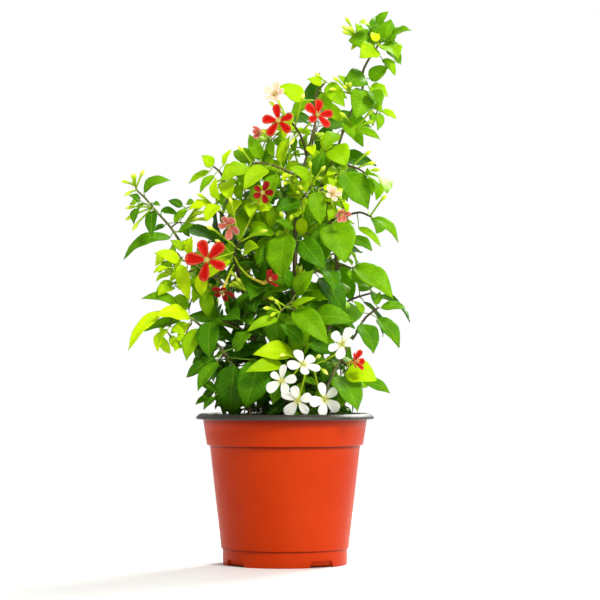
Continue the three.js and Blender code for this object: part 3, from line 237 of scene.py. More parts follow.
# Blooms: name, middle, the way they look, reach and lift of the petals, their turn in degrees, colour.
BLOOMS = [
    ("bloom_crown_left", (-5, -34, 372), (-0.3, -1, 0.25), 14, 0.15, -4, "red"),
    ("bloom_crown_right", (27, -34, 377), (0.3, -0.9, 0.3), 14, 0.3, 14, "red"),
    ("bloom_crown_faded", (-8, -22, 395), (-0.3, -0.9, 0.5), 12, 0.6, 10, "cream"),
    ("bloom_crown_pink", (-19, -28, 364), (-0.7, -0.7, -0.2), 9.5, 1.6, 0, "pink"),
    ("bloom_upper_dark", (-18, -52, 311), (-0.1, -1, -0.1), 10.5, 0.4, 20, "dark_red"),
    ("bloom_left_pink", (-45, -46, 285), (-0.4, -0.8, -0.5), 12.5, 0.5, 50, "pink"),
    ("bloom_left_star", (-64, -54, 255), (-0.15, -1, 0.05), 17.5, 0.05, -25, "red"),
    ("bloom_left_under", (-51, -50, 230), (-0.2, -0.6, -0.8), 10.5, 0.4, 30, "dark_red"),
    ("bloom_middle_side", (-15, -60, 237), (0.75, -0.5, 0.4), 11.5, 0.9, 12, "dark_red"),
    ("bloom_right_cream", (39, -42, 310), (0.3, -0.9, 0.2), 9.5, 0.8, 25, "cream"),
    ("bloom_right_faded", (46, -46, 295), (0.3, -0.7, -0.6), 10, 0.9, 60, "pink"),
    ("bloom_white_left", (-2, -74, 155), (-0.5, -0.9, 0.3), 15, 0.25, 14, "white"),
    ("bloom_white_top", (15, -64, 168), (0.2, -0.8, 0.6), 13.5, 0.25, 44, "white"),
    ("bloom_white_right", (48, -62, 185), (-0.5, -0.8, 0.3), 14.5, 0.3, 28, "white"),
    ("bloom_white_low", (11, -58, 139), (-0.1, -0.9, -0.2), 14, 0.2, 0, "white"),
    ("bloom_white_corner", (33, -52, 140), (0.35, -0.9, 0.1), 15.5, 0.15, 52, "white"),
    ("bloom_low_orange", (57, -62, 171), (0.8, -0.6, 0.1), 11, 0.7, 15, "red"),
]

SHOOT_PARTS = 16  # equal parts of a shoot, by which its buds and flower tubes are placed


class Shoot:
    """A leafy shoot along a path.

    Its leaves are (base, tip, width), with an arch where it isn't LEAF_ARCH. Its buds are (part, tip) and
    its flower tubes (part, bloom): they leave the shoot at the end of that part, counted from its foot.
    Its pairs, which grow by rule, are (count, place of the first, place of the last), as shares.
    """

    def __init__(self, path, leaves=(), buds=(), tubes=(), pairs=(0, 0, 1)):
        self.leaves, self.buds, self.tubes, self.pairs = leaves, buds, tubes, pairs
        self.path, self.fine = path, smooth(path, SHOOT_PARTS)
        self.line = smooth(path, int(SHOOT_STEPS * (len(path) - 1) + 0.5))
        self.twigs = []


SHOOTS = {
    "shoot_top": Shoot(
        [(66, 0, 403), (66, -1, 416), (70, -1, 426), (78, -1, 438), (80, -1, 444)],
        leaves=[
            ((79, 4, 442), (78, 12, 467), 23), ((82, 0, 443), (90, -2, 462), 18),
            ((75, 2, 443), (61, 6, 457), 22), ((76, -6, 440), (54, -12, 443), 24),
            ((76, -16, 436), (63, -30, 426), 19), ((82, -10, 439), (95, -21, 426), 23),
            ((87, -8, 443), (106, -16, 450), 17), ((86, 4, 438), (99, 10, 425), 15),
            ((77, -14, 441), (74, -26, 450), 9), ((66, -9, 401), (60, -24, 375), 22),
            ((68, -5, 412), (50, -12, 405), 20), ((72, -3, 411), (87, -8, 421), 14),
            ((83, 2, 428), (94, 4, 415), 12), ((72, -4, 403), (88, -10, 397), 16),
            ((72, -16, 399), (81, -28, 386), 15),
        ],
    ),
    "shoot_crown": Shoot(
        [(22, -10, 358), (26, -3, 376), (26, -4, 396), (34, -6, 408)],
        leaves=[
            ((37, -9, 406), (50, -18, 386), 15), ((32, -5, 399), (38, -14, 380), 12),
            ((16, -9, 392), (-6, -12, 404), 16), ((31, -8, 406), (19, -12, 410), 9),
            ((22, 2, 392), (4, 12, 378), 15), ((31, 2, 388), (50, 10, 376), 14),
        ],
        buds=[(16, (25, -8, 415))],
        pairs=(1, 0.3, 0.6),
    ),
    "spray_crown": Shoot(
        [(18, -12, 345), (15, -19, 357), (9, -22, 368), (1, -22, 377)],
        leaves=[((6, -20, 380), (-1, -26, 356), 10)],
        buds=[(15, (-14, -22, 390)), (11, (16, -32, 396)), (8, (4, -32, 352))],
        tubes=[
            (16, "bloom_crown_left"), (8, "bloom_crown_right"), (16, "bloom_crown_faded"),
            (13, "bloom_crown_pink"),
        ],
    ),
    "shoot_shoulder": Shoot(
        [(49, 0, 366), (54, -7, 370), (61, -12, 369)],
        leaves=[
            ((50, -8, 376), (66, -18, 352), 15), ((62, -16, 366), (80, -19, 357), 9),
            ((44, -10, 364), (33, -22, 350), 14),
        ],
        buds=[(16, (75, -14, 384)), (16, (76, -13, 374)), (16, (71, -18, 366)), (13, (46, -18, 381))],
    ),
    "shoot_right_high": Shoot(
        [(42, 0, 343), (51, -8, 338), (62, -10, 334), (68, -10, 330)],
        leaves=[
            ((40, -10, 352), (52, -22, 336), 22), ((50, -15, 330), (70, -30, 299), 27),
            ((68, -12, 326), (74, -16, 311), 11),
        ],
        buds=[(8, (73, -12, 349)), (10, (77, -11, 339)), (15, (81, -12, 333)), (16, (64, -17, 313))],
        pairs=(1, 0.5, 0.9),
    ),
    "shoot_right_middle": Shoot(
        [(38, -2, 290), (50, -9, 294), (63, -10, 297), (72, -8, 294)],
        leaves=[
            ((41, -26, 287), (50, -46, 254), 32), ((74, -6, 292), (96, -12, 272), 11, 0.25),
            ((62, -13, 284), (81, -18, 268), 8), ((55, -16, 274), (73, -26, 264), 14),
        ],
        buds=[(16, (86, -12, 312))],
        tubes=[(4, "bloom_right_cream"), (6, "bloom_right_faded")],
        pairs=(1, 0.5, 0.9),
    ),
    "shoot_right_low": Shoot(
        [(44, -3, 252), (50, -8, 252), (56, -10, 250)],
        leaves=[
            ((59, -12, 251), (91, -24, 225), 24), ((52, -14, 245), (72, -16, 234), 12),
            ((57, -2, 248), (84, 14, 240), 20),
        ],
    ),
    "shoot_low_right": Shoot(
        [(60, -21, 196), (68, -20, 208), (78, -20, 216)],
        leaves=[
            ((81, -20, 216), (102, -22, 216), 9, 0.2), ((76, -22, 219), (80, -26, 230), 6),
            ((78, -21, 207), (96, -30, 183), 16), ((64, -26, 202), (74, -38, 178), 19),
            ((66, -16, 212), (58, -18, 222), 7),
        ],
    ),
    "shoot_rim_right": Shoot(
        [(47, -26, 173), (54, -32, 166), (60, -36, 160)],
        leaves=[
            ((52, -44, 163), (76, -54, 156), 24), ((66, -32, 156), (88, -36, 145), 12),
            ((44, -42, 158), (60, -60, 131), 26), ((50, -24, 160), (70, -12, 150), 17),
        ],
        tubes=[(10, "bloom_low_orange")],
    ),
    "shoot_middle": Shoot(
        [(8, -15, 220), (7, -30, 222), (2, -42, 218), (-4, -50, 212)],
        leaves=[
            ((8, -46, 214), (36, -64, 186), 21), ((-6, -52, 206), (-31, -62, 196), 10),
            ((6, -47, 217), (25, -60, 224), 7), ((10, -34, 228), (24, -46, 246), 17),
        ],
        buds=[
            (16, (-18, -60, 215)), (16, (-12, -62, 208)), (15, (-8, -60, 222)), (12, (-14, -54, 224)),
            (8, (19, -54, 204)),
        ],
    ),
    "spray_white": Shoot(
        [(4, -13, 168), (10, -30, 172), (18, -44, 172), (24, -50, 168)],
        leaves=[
            ((6, -36, 180), (-26, -58, 177), 19), ((-2, -44, 168), (-32, -66, 163), 14),
            ((-1, -28, 164), (-10, -46, 136), 22),
        ],
        buds=[(16, (36, -62, 160)), (14, (30, -62, 176)), (8, (-4, -60, 176))],
        tubes=[
            (8, "bloom_white_left"), (11, "bloom_white_top"), (16, "bloom_white_right"),
            (12, "bloom_white_low"), (16, "bloom_white_corner"),
        ],
    ),
    "shoot_centre_low": Shoot(
        [(8, -16, 258), (6, -26, 268), (2, -36, 276)],
        leaves=[
            ((0, -42, 277), (-3, -56, 239), 29), ((7, -40, 282), (-8, -52, 288), 9),
            ((14, -33, 272), (34, -48, 248), 20), ((-4, -30, 268), (-24, -44, 252), 16),
        ],
        buds=[(16, (6, -50, 293)), (16, (-4, -46, 296))],
    ),
    "shoot_centre_high": Shoot(
        [(10, -16, 302), (16, -26, 310), (22, -32, 318)],
        leaves=[
            ((24, -38, 312), (30, -50, 285), 16), ((20, -38, 324), (4, -50, 332), 12),
            ((26, -32, 326), (32, -40, 346), 14), ((12, -28, 304), (-8, -40, 296), 15),
        ],
        buds=[(16, (21, -44, 338)), (16, (34, -42, 334)), (9, (0, -40, 322)), (6, (10, -44, 312))],
    ),
    "shoot_upper_left": Shoot(
        [(14, -14, 326), (0, -22, 332), (-14, -24, 337), (-28, -22, 338)],
        leaves=[
            ((-30, -25, 334), (-54, -34, 322), 18), ((-16, -30, 333), (-34, -42, 314), 17),
            ((-20, -20, 342), (-30, -28, 362), 12), ((-3, -20, 338), (4, -30, 362), 13),
            ((-8, -26, 328), (-12, -38, 304), 14), ((-26, -14, 340), (-44, 2, 350), 14),
        ],
        buds=[(16, (-40, -26, 352))],
    ),
    "shoot_left_top": Shoot(
        [(-50, -6, 318), (-54, -6, 330), (-60, -7, 336)],
        leaves=[
            ((-61, -9, 337), (-70, -14, 345), 11), ((-52, -10, 337), (-45, -16, 350), 7),
            ((-60, -10, 328), (-72, -14, 314), 9), ((-64, -6, 332), (-82, -6, 322), 8),
            ((-48, -14, 324), (-46, -30, 306), 16), ((-50, 2, 330), (-36, 16, 340), 15),
        ],
        buds=[(5, (-64, -10, 318))],
    ),
    "shoot_left_upper": Shoot(
        [(-46, -7, 288), (-54, -14, 296), (-60, -20, 302)],
        leaves=[
            ((-64, -20, 305), (-81, -24, 299), 10), ((-56, -26, 302), (-66, -40, 288), 14),
            ((-56, -22, 307), (-58, -32, 324), 12), ((-48, -20, 296), (-36, -34, 306), 14),
        ],
        buds=[(16, (-74, -26, 312))],
        tubes=[(4, "bloom_left_pink")],
    ),
    "spray_left": Shoot(
        [(-38, -7, 242), (-42, -22, 252), (-42, -34, 262), (-38, -36, 272)],
        leaves=[((-46, -30, 256), (-66, -34, 240), 14), ((-34, -36, 262), (-22, -52, 266), 15)],
        buds=[(16, (-46, -42, 308)), (13, (-66, -40, 284)), (15, (-14, -46, 280)), (9, (-58, -48, 272))],
        tubes=[
            (11, "bloom_left_star"), (6, "bloom_left_under"), (9, "bloom_middle_side"),
            (16, "bloom_upper_dark"),
        ],
    ),
    "shoot_left_middle": Shoot(
        [(-54, -12, 238), (-66, -18, 246), (-78, -20, 254), (-86, -21, 256)],
        leaves=[
            ((-89, -22, 255), (-109, -28, 262), 12), ((-88, -26, 252), (-80, -34, 222), 13),
            ((-80, -24, 260), (-78, -30, 276), 9), ((-82, -16, 250), (-98, -16, 238), 9),
            ((-70, -24, 244), (-70, -38, 226), 12), ((-66, -12, 252), (-72, 2, 268), 15),
        ],
    ),
    "shoot_branch": Shoot(
        [(-89, -10, 273), (-97, -10, 285), (-106, -9, 295), (-117, -8, 308), (-125, -6, 316),
         (-127, -6, 321)],
        leaves=[
            ((-97, -9, 276), (-137, -10, 258), 13, 0.22), ((-119, -14, 314), (-96, -18, 324), 12, 0.24),
            ((-111, -16, 298), (-111, -32, 276), 12), ((-104, -15, 299), (-90, -20, 295), 7),
            ((-89, -16, 280), (-76, -20, 287), 7), ((-93, -14, 288), (-83, -18, 301), 8),
            ((-102, -5, 286), (-112, 2, 282), 6),
        ],
        buds=[
            (15, (-130, -7, 330)), (14, (-119, -8, 334)), (15, (-139, -6, 324)), (15, (-127, -15, 330)),
            (13, (-136, -11, 311)), (15, (-130, 4, 324)), (8, (-135, -15, 300)), (8, (-135, -12, 290)),
            (8, (-129, -14, 281)),
        ],
    ),
    "shoot_low_left": Shoot(
        [(-62, -23, 192), (-74, -22, 204), (-86, -22, 212), (-98, -24, 216)],
        leaves=[
            ((-90, -24, 218), (-120, -30, 224), 10, 0.25), ((-80, -28, 208), (-107, -34, 210), 17),
            ((-101, -26, 213), (-131, -36, 181), 13, 0.16), ((-88, -16, 206), (-124, -16, 196), 10),
            ((-72, -28, 198), (-82, -40, 172), 17), ((-82, -12, 216), (-96, 4, 226), 13),
            ((-62, -32, 204), (-62, -50, 174), 22),
        ],
    ),
    "shoot_rim_left": Shoot(
        [(-46, -28, 172), (-50, -38, 176), (-52, -46, 178)],
        leaves=[
            ((-58, -40, 174), (-82, -42, 158), 14), ((-56, -48, 170), (-72, -60, 147), 14),
            ((-42, -40, 168), (-46, -32, 126), 30), ((-42, -46, 182), (-28, -64, 194), 16),
            ((-22, -46, 172), (-33, -56, 132), 28), ((-56, -30, 182), (-80, -26, 186), 14),
        ],
    ),
}

# Shoots by rule: their stem, the share of it below them, their heading in degrees and their length.
FILLERS = [
    ("stem_back", 0.3, 60, 34), ("stem_back", 0.4, 150, 38), ("stem_back", 0.5, 10, 36),
    ("stem_back", 0.6, 100, 36), ("stem_back", 0.7, 190, 34), ("stem_back", 0.8, 40, 34),
    ("stem_back", 1, 80, 24), ("stem_right", 0.3, 20, 36), ("stem_left", 0.36, 225, 36),
    ("stem_left", 0.7, 120, 30), ("stem_centre", 0.24, 240, 22), ("stem_centre", 0.38, 200, 28),
    ("stem_centre", 0.46, 345, 26), ("stem_back", 0.2, 95, 30),
]


# Growth


def leaf_outline(t):
    """Half width of a leaf at a share of its length, against its widest place."""
    return t**0.55 * (1 - t) ** 0.9 / LEAF_PEAK


def leaf_frame(root, base, tip, width, arch, face):
    """A leaf's own directions and sizes. face is the way its upper side would like to look."""
    length = length_of(tip - base)
    along = (tip - base) / length
    up = unit(face - along * (face @ along))
    across = np.cross(up, along)
    return SimpleNamespace(
        root=root, base=base, along=along, up=up, across=across, length=length, width=width, arch=arch
    )


def leaf_points(leaf, t, side):
    """Points of the leaf's middle surface: t runs from base to tip, side from -1 to 1 across."""
    half = leaf.width / 2 * leaf_outline(t)
    rise = leaf.arch * leaf.length * 4 * t * (1 - t) + LEAF_FOLD * half * np.abs(side)
    spine = leaf.base + np.multiply.outer(leaf.length * t, leaf.along)
    return spine + np.multiply.outer(half * side, leaf.across) + np.multiply.outer(rise, leaf.up)


def spots(along, across):
    """Places spread over a blade: their shares of its length, and their sides."""
    places = np.meshgrid(np.arange(1, along + 1) / along, np.arange(-across, across + 1) / across)
    return [place.ravel() for place in places]


CLOSE_SPOTS = spots(12, 3)
FEW_SPOTS = spots(8, 2)

# What already stands in the way of the next leaf, and the lowest and highest corner of each thing.
MOST_THINGS = 6000
standing = []
outer_corners = np.zeros((MOST_THINGS, 2, 3))


def stand(owner, kind, points):
    """Keeps the points of a thing, for what grows later to keep clear of."""
    outer_corners[len(standing)] = points.min(axis=0), points.max(axis=0)
    squares = (points**2).sum(axis=1)
    standing.append(SimpleNamespace(owner=owner, kind=kind, points=points, squares=squares))


def clear_of(points, owner, own_gap=OWN_GAP, gap=LEAF_GAP):
    """Whether points keep their distance from all that stands, stems of their own apart."""
    reach = max(own_gap, gap)
    low, high = points.min(axis=0) - reach, points.max(axis=0) + reach
    around = outer_corners[: len(standing)]
    near = np.all((around[:, 0] <= high) & (around[:, 1] >= low), axis=1)
    for i in np.nonzero(near)[0]:
        other = standing[i]
        own = other.owner == owner
        if own and other.kind == "stem":
            continue
        least = own_gap if own else gap
        squares = (points**2).sum(axis=1)[:, None] + other.squares - 2 * points @ other.points.T
        if squares.min() < least**2:
            return False
    return True


def clear_of_pot(points):
    """Leaves keep above the soil and outside the pot's lip."""
    inside = np.hypot(points[:, 0], points[:, 1]) < POT_MOUTH
    return bool(np.all(points[:, 2] > np.where(inside, SOIL_TOP + OVER_SOIL, POT_HEIGHT + OVER_RIM)))


def settles(leaf, owner):
    """Lets a leaf stand, if it is clear of the pot and of all that stands already."""
    cloud = leaf_points(leaf, *CLOSE_SPOTS)
    if not (clear_of_pot(cloud) and clear_of(cloud, owner)):
        return False
    stand(owner, "leaf", cloud)
    return True


def bush_middle(z):
    """The middle of the foliage at a height, which leans to the right as it rises."""
    return vec((z - BUSH_FOOT) / (BUSH_TOP - BUSH_FOOT) * BUSH_LEAN, 0, z)


def facing(base, frontness):
    """Where a leaf's upper side would like to look: up, and away from the middle of the foliage."""
    out = base - bush_middle(base[2])
    out = unit(out * (1, 1, 0))
    return unit(vec(OUTWARDNESS * out[0], OUTWARDNESS * out[1] - frontness, UPWARDNESS))


def placed_leaf(owner, line, base, tip, width, arch=LEAF_ARCH):
    """One placed leaf: its tip is bent nearer or farther until it stands clear."""
    for k in range(TRIES):
        bend = draws.spread(8 + 4 * k) if k else 0
        shift = draws.spread(2 + k) if k else 0
        roll = draws.spread(0.12 * k) if k else 0
        start = vec(*base) + vec(0, shift, 0)
        end = vec(*tip) + vec(0, bend, 0)
        face = unit(facing(start, FRONTNESS) + vec(roll, 0, 0))
        leaf = leaf_frame(nearest(line[1:], start), start, end, width, arch, face)
        if settles(leaf, owner):
            return leaf
    return None


def rule_leaf(owner, line, index, quarter, size):
    """A leaf of an opposite pair that grows by rule, at a point of its stem."""
    root = line[index]
    stem = unit(line[min(index + 1, len(line) - 1)] - line[index - 1])
    for k in range(TRIES):
        angle = quarter + draws.spread(0.3 + 0.1 * k)
        droop = 0.35 + draws.spread(0.3 + 0.06 * k)
        length = size * (1 - 0.25 * draws.share())
        out = square_to(stem, angle)
        base = root + out * STALK_OUT + stem * STALK_ALONG
        way = unit(out + stem * 0.5 + vec(0, 0, -droop))
        leaf = leaf_frame(root, base, base + way * length, RULE_WIDTH * length, LEAF_ARCH, facing(base, 0))
        if settles(leaf, owner):
            return leaf
    return None


def shoot_leaves(name, shoot):
    """The placed leaves of a shoot and its pairs by rule, as many as find room."""
    leaves = [placed_leaf(name, shoot.line, *wish) for wish in shoot.leaves]
    count, start, end = shoot.pairs
    for k in range(count):
        share = end if count == 1 else start + (end - start) * k / (count - 1)
        index = max(1, int(share * (len(shoot.line) - 1) + 0.5))
        quarter = (k % 2) * math.pi / 2
        size = LONG_LEAF + (SHORT_LEAF - LONG_LEAF) * share
        for side in (0, math.pi):
            leaves.append(rule_leaf(name, shoot.line, index, quarter + side, size))
    return [leaf for leaf in leaves if leaf]


def bloom_frame(name, centre, looks, reach, lift, turn, colour):
    """A bloom's own directions, and the angle and length of each petal."""
    out = unit(vec(*looks))
    level = unit(vec(0, 0, 1) - out * out[2])
    petals = []
    for k in range(PETALS):
        angle = ((turn + draws.spread(PETAL_TURN)) / 180 + 2 * k / PETALS) * math.pi
        petals.append((angle, reach * (1 + draws.spread(PETAL_UNEVENNESS))))
    return SimpleNamespace(
        name=name, centre=vec(*centre), out=out, level=level, side=np.cross(level, out),
        lift=lift, petals=petals, colour=colour,
    )


def bloom_point(bloom, angle, distance, height=0.0):
    """A point of a bloom at an angle and a distance from its middle along the petals."""
    share = distance / math.hypot(1, bloom.lift)
    flat = bloom.level * math.cos(angle) + bloom.side * math.sin(angle)
    return bloom.centre + flat * share + bloom.out * (share * bloom.lift + height)


def bloom_cloud(bloom):
    """Points spread over the petals of a bloom."""
    cloud = [bloom.centre]
    for angle, length in bloom.petals:
        for share in (0.3, 0.55, 0.78, 1):
            cloud += [bloom_point(bloom, angle + turn, share * length) for turn in (-0.4, 0, 0.4)]
    return np.array(cloud)


def bud_points(start, tip):
    """A closed bud: its thin stalk, its swollen head and its point."""
    way = vec(*tip) - start
    length = length_of(way)
    head = min(BUD_LENGTH, 0.6 * length) / length
    places = [0, 1 - head, 1 - head / 2, 1]
    return np.array([start + way * t + vec(0, 0, BUD_SAG * t * (1 - t) * length) for t in places])


def flower_tube(start, bloom):
    """The tube behind a bloom, from the shoot to just under the petals."""
    end = bloom.centre - bloom.out * (GAP + 0.05)
    before = end - bloom.out * 3
    middle = start + (before - start) * TUBE_BEND - bloom.out * TUBE_DIP * length_of(before - start)
    return np.array([*smooth([start, middle, before], 3), end])


def add_fillers():
    """Shoots by rule, each on its stem."""
    for i, (stem, share, heading, length) in enumerate(FILLERS):
        start = curve_point([vec(*p) for p in WOOD[stem][0].path], share)
        way = vec(math.cos(math.radians(heading)), math.sin(math.radians(heading)), 0)
        middle = start + way * 0.5 * length + vec(0, 0, 0.25 * length)
        end = start + way * length + vec(0, 0, 0.4 * length)
        SHOOTS[f"shoot_filler_{i + 1}"] = Shoot([start, middle, end], pairs=(3, 0.35, 1))


def grow():
    """Blooms, stems and buds take their places first, then the leaves fill in. Gives the blooms."""
    for name, limbs in WOOD.items():
        for limb in limbs:
            stand(name, "wood", smooth(limb.path, 60))
    blooms = {entry[0]: bloom_frame(*entry) for entry in BLOOMS}
    for name, bloom in blooms.items():
        stand(name, "bloom", bloom_cloud(bloom))
    add_fillers()
    for name, shoot in SHOOTS.items():
        shoot.buds = [bud_points(shoot.fine[part], tip) for part, tip in shoot.buds]
        shoot.tubes = [(flower_tube(shoot.fine[part], blooms[at]), blooms[at]) for part, at in shoot.tubes]
        stand(name, "stem", shoot.fine)
        for centres in [*shoot.buds, *[tube for tube, bloom in shoot.tubes]]:
            stand(name, "stem", smooth(centres, 12))
    for name, shoot in SHOOTS.items():
        shoot.grown = shoot_leaves(name, shoot)
    return blooms


BLOOM_FRAMES = grow()


# Finishes

# The surface values that each mesh keeps on its points, three under a name. On a tube, side is the
# share of the way round it and away is its radius in millimetres.
SURFACE_VALUES = {"blade": ("along", "side", "away"), "tone": ("light", "chance", "youth")}


class Wire:
    """What a node puts out. Sums with it are nodes of its tree."""

    def __init__(self, tree, socket):
        self.tree, self.socket = tree, socket

    def __add__(self, other):
        return self.tree.sum("ADD", self, other)

    def __sub__(self, other):
        return self.tree.sum("SUBTRACT", self, other)

    def __mul__(self, other):
        return self.tree.sum("MULTIPLY", self, other)

    def __abs__(self):
        return self.tree.sum("ABSOLUTE", self)


class Tree:
    """Places and joins the nodes of a material, a group or a world."""

    def __init__(self, tree):
        self.tree = tree
        tree.nodes.clear()

    def feed(self, socket, value):
        """Joins a wire to a socket, or sets the socket to a number or a colour."""
        if isinstance(value, Wire):
            self.tree.links.new(value.socket, socket)
        elif socket.type == "RGBA":
            socket.default_value = (*value, 1)
        else:
            socket.default_value = value

    def add(self, kind, inputs=(), **settings):
        node = self.tree.nodes.new("ShaderNode" + kind)
        for key, value in settings.items():
            setattr(node, key, value)
        for key, value in dict(inputs).items():
            self.feed(node.inputs[key], value)
        return node

    def wire(self, kind, inputs=(), output=0, **settings):
        """One output of a new node."""
        return Wire(self, self.add(kind, inputs, **settings).outputs[output])

    def named(self, node):
        """All outputs of a node by their names, in small letters."""
        wires = {end.name.lower().replace(" ", "_"): Wire(self, end) for end in node.outputs if end.name}
        return SimpleNamespace(**wires)

    def sum(self, operation, *values):
        return self.wire("Math", enumerate(values), operation=operation)

    def between(self, value, low, high, start=0.0, end=1.0):
        """Turns a value that runs from low to high into one from start to end, softly."""
        limits = {"Value": value, "From Min": low, "From Max": high, "To Min": start, "To Max": end}
        return self.wire("MapRange", limits, interpolation_type="SMOOTHSTEP")

    def place(self, *stretch):
        """The place on the object, in metres, stretched along its axes if three numbers say so."""
        place = self.wire("TexCoord", output="Object")
        return self.wire("Mapping", {"Vector": place, "Scale": stretch}) if stretch else place

    def noise(self, scale, detail=3.0, rough=0.5, place=None):
        values = {"Scale": scale, "Detail": detail, "Roughness": rough, "Vector": place or self.place()}
        return self.wire("TexNoise", values, "Fac")

    def mix(self, share, first, second):
        return self.wire("Mix", {0: share, 6: first, 7: second}, 2, data_type="RGBA")

    def ramp(self, value, *stops):
        node = self.add("ValToRGB", {"Fac": value})
        marks = node.color_ramp.elements
        while len(marks) < len(stops):
            marks.new(0.5)
        for mark, (place, colour) in zip(marks, stops):
            mark.position = place
            mark.color = (*colour, 1)
        return Wire(self, node.outputs[0])

    def values(self, name):
        """The three surface values kept on a mesh's points under a name."""
        kept = self.wire("Attribute", output="Vector", attribute_name=name)
        parts = self.add("SeparateXYZ", {0: kept}).outputs
        return SimpleNamespace(**{key: Wire(self, part) for key, part in zip(SURFACE_VALUES[name], parts)})

    def bump(self, height, strength, distance):
        return self.wire("Bump", {"Height": height, "Strength": strength, "Distance": distance * MM})

    def use(self, group, **values):
        """Places a group with its own values, and gives its outputs by name."""
        inputs = {key.replace("_", " ").title(): value for key, value in values.items()}
        return self.named(self.add("Group", inputs, node_tree=group))


def add_socket(tree, name, side, colour):
    """A named socket of a group, for a colour or for a number."""
    kind = "NodeSocketColor" if colour else "NodeSocketFloat"
    return tree.tree.interface.new_socket(name.replace("_", " ").title(), in_out=side, socket_type=kind)


def start_group(name, **inputs):
    """The tree of a new group, and its named inputs with the values they have by themselves."""
    tree = Tree(bpy.data.node_groups.new(name, "ShaderNodeTree"))
    for key, value in inputs.items():
        colour = isinstance(value, tuple)
        add_socket(tree, key, "INPUT", colour).default_value = (*value, 1) if colour else value
    return tree, tree.named(tree.tree.nodes.new("NodeGroupInput"))


def end_group(tree, **outputs):
    """Ends a group in its named outputs."""
    for key, value in outputs.items():
        add_socket(tree, key, "OUTPUT", value.socket.type == "RGBA")
    end = tree.tree.nodes.new("NodeGroupOutput")
    for socket, value in zip(end.inputs, outputs.values()):
        tree.feed(socket, value)
    return tree.tree


def mottle_group():
    """Uneven light and dark over a surface: broad patches, small blotches, and fine grain as height."""
    tree, start = start_group("mottle", patch_size=20.0, grain_size=1.0, amount=0.3)
    broad = tree.noise(tree.sum("DIVIDE", 1 / MM, start.patch_size), 3)
    small = tree.noise(tree.sum("DIVIDE", 4 / MM, start.patch_size), 2)
    grain = tree.noise(tree.sum("DIVIDE", 1 / MM, start.grain_size), 4, 0.6)
    return end_group(tree, value=(broad * 0.7 + small * 0.3 - 0.5) * start.amount, grain=grain)


def vein_group():
    """The net of veins of a blade: a midrib and side veins that lean to the tip."""
    tree, start = start_group("veins", veins=9.0, lean=2.2, midrib=0.45)
    blade = tree.values("blade")
    wide = abs(blade.side)
    midrib = tree.between(abs(blade.away), start.midrib, 0.0)
    wave = tree.sum("PINGPONG", blade.along * start.veins - wide * start.lean, 0.5)
    lines = tree.between(wave, 0.09, 0.0) * tree.between(wide, 1.0, 0.6)
    return end_group(tree, midrib=midrib, side_veins=lines, height=wave * 0.9 - midrib)


def petal_group():
    """Petal colour: paler toward its edge and tip, partly the petal's own colour and partly a painted
    highlight, another colour in the throat, with fine lengthwise streaks.
    """
    white = (1, 1, 1)
    tree, start = start_group("petal_colour", base=white, edge=white, throat=white, throat_reach=0.2,
                              edge_share=0.5, streak_depth=0.3)
    blade, tone = tree.values("blade"), tree.values("tone")
    wide = abs(blade.side) + tree.noise(350.0, 2) * 0.35
    # The pale edge and tip: partly the petal's own colour, partly a painted highlight.
    at_edge = tree.between(wide, 0.62, 1.12) * start.edge_share
    at_tip = tree.between(blade.along, 0.8, 1.0) * start.edge_share
    place = tree.wire("CombineXYZ", {0: blade.along * 1.5, 1: blade.side * 9.0, 2: tone.chance})
    streaks = tree.noise(1.0, 3, 0.6, place)
    dusk = tree.between(streaks, 0.3, 0.7, -1.0, 0.4) * start.streak_depth
    colour = tree.mix(tree.sum("MAXIMUM", at_edge, at_tip), start.base, start.edge)
    colour = tree.wire("HueSaturation", {"Color": colour, "Value": dusk + 1.0 + tone.light * 0.08})
    throat = tree.between(blade.along, start.throat_reach, 0.0)
    return end_group(tree, color=tree.mix(throat, colour, start.throat), height=streaks)


MOTTLE = mottle_group()
VEINS = vein_group()
PETAL_COLOUR = petal_group()


def dress(tree, colour, rough, normal, shine=0.5, glow=None, share=0.0):
    """Ends a material in its shader. glow is the colour of the light that shines through it."""
    inputs = {"Base Color": colour, "Roughness": rough, "Normal": normal, "Specular IOR Level": shine}
    shader = tree.wire("BsdfPrincipled", inputs)
    if glow:
        through = tree.wire("BsdfTranslucent", {"Color": glow})
        shader = tree.wire("MixShader", {0: share, 1: shader, 2: through})
    tree.add("OutputMaterial", {"Surface": shader})


def leaf_finish(tree):
    """Deep green where old or shaded, bright yellow green where young or in the sun."""
    tone = tree.values("tone")
    patches = tree.use(MOTTLE, patch_size=9.0, grain_size=0.5, amount=0.45)
    veins = tree.use(VEINS)
    green = tone.light + patches.value - veins.height * 0.06 + (tone.chance - 0.5) * 0.1
    colour = tree.ramp(
        green, (0.0, (0.016, 0.085, 0.0)), (0.25, (0.068, 0.25, 0.0)), (0.5, (0.22, 0.48, 0.0)),
        (0.75, (0.48, 0.73, 0.0)), (1.0, (0.76, 0.95, 0.0)),
    )
    lines = tree.sum("MAXIMUM", veins.midrib, veins.side_veins * 0.3)
    colour = tree.mix(lines, colour, tree.mix(0.4, colour, (0.5, 0.74, 0.05)))
    rough = tree.between(patches.grain, 0.2, 0.8, 0.45, 0.58)
    normal = tree.bump(veins.height + patches.grain * 0.25, 0.5, 0.5)
    dress(tree, colour, rough, normal, 0.12, tree.mix(0.35, colour, (0.5, 0.8, 0.0)), 0.36)


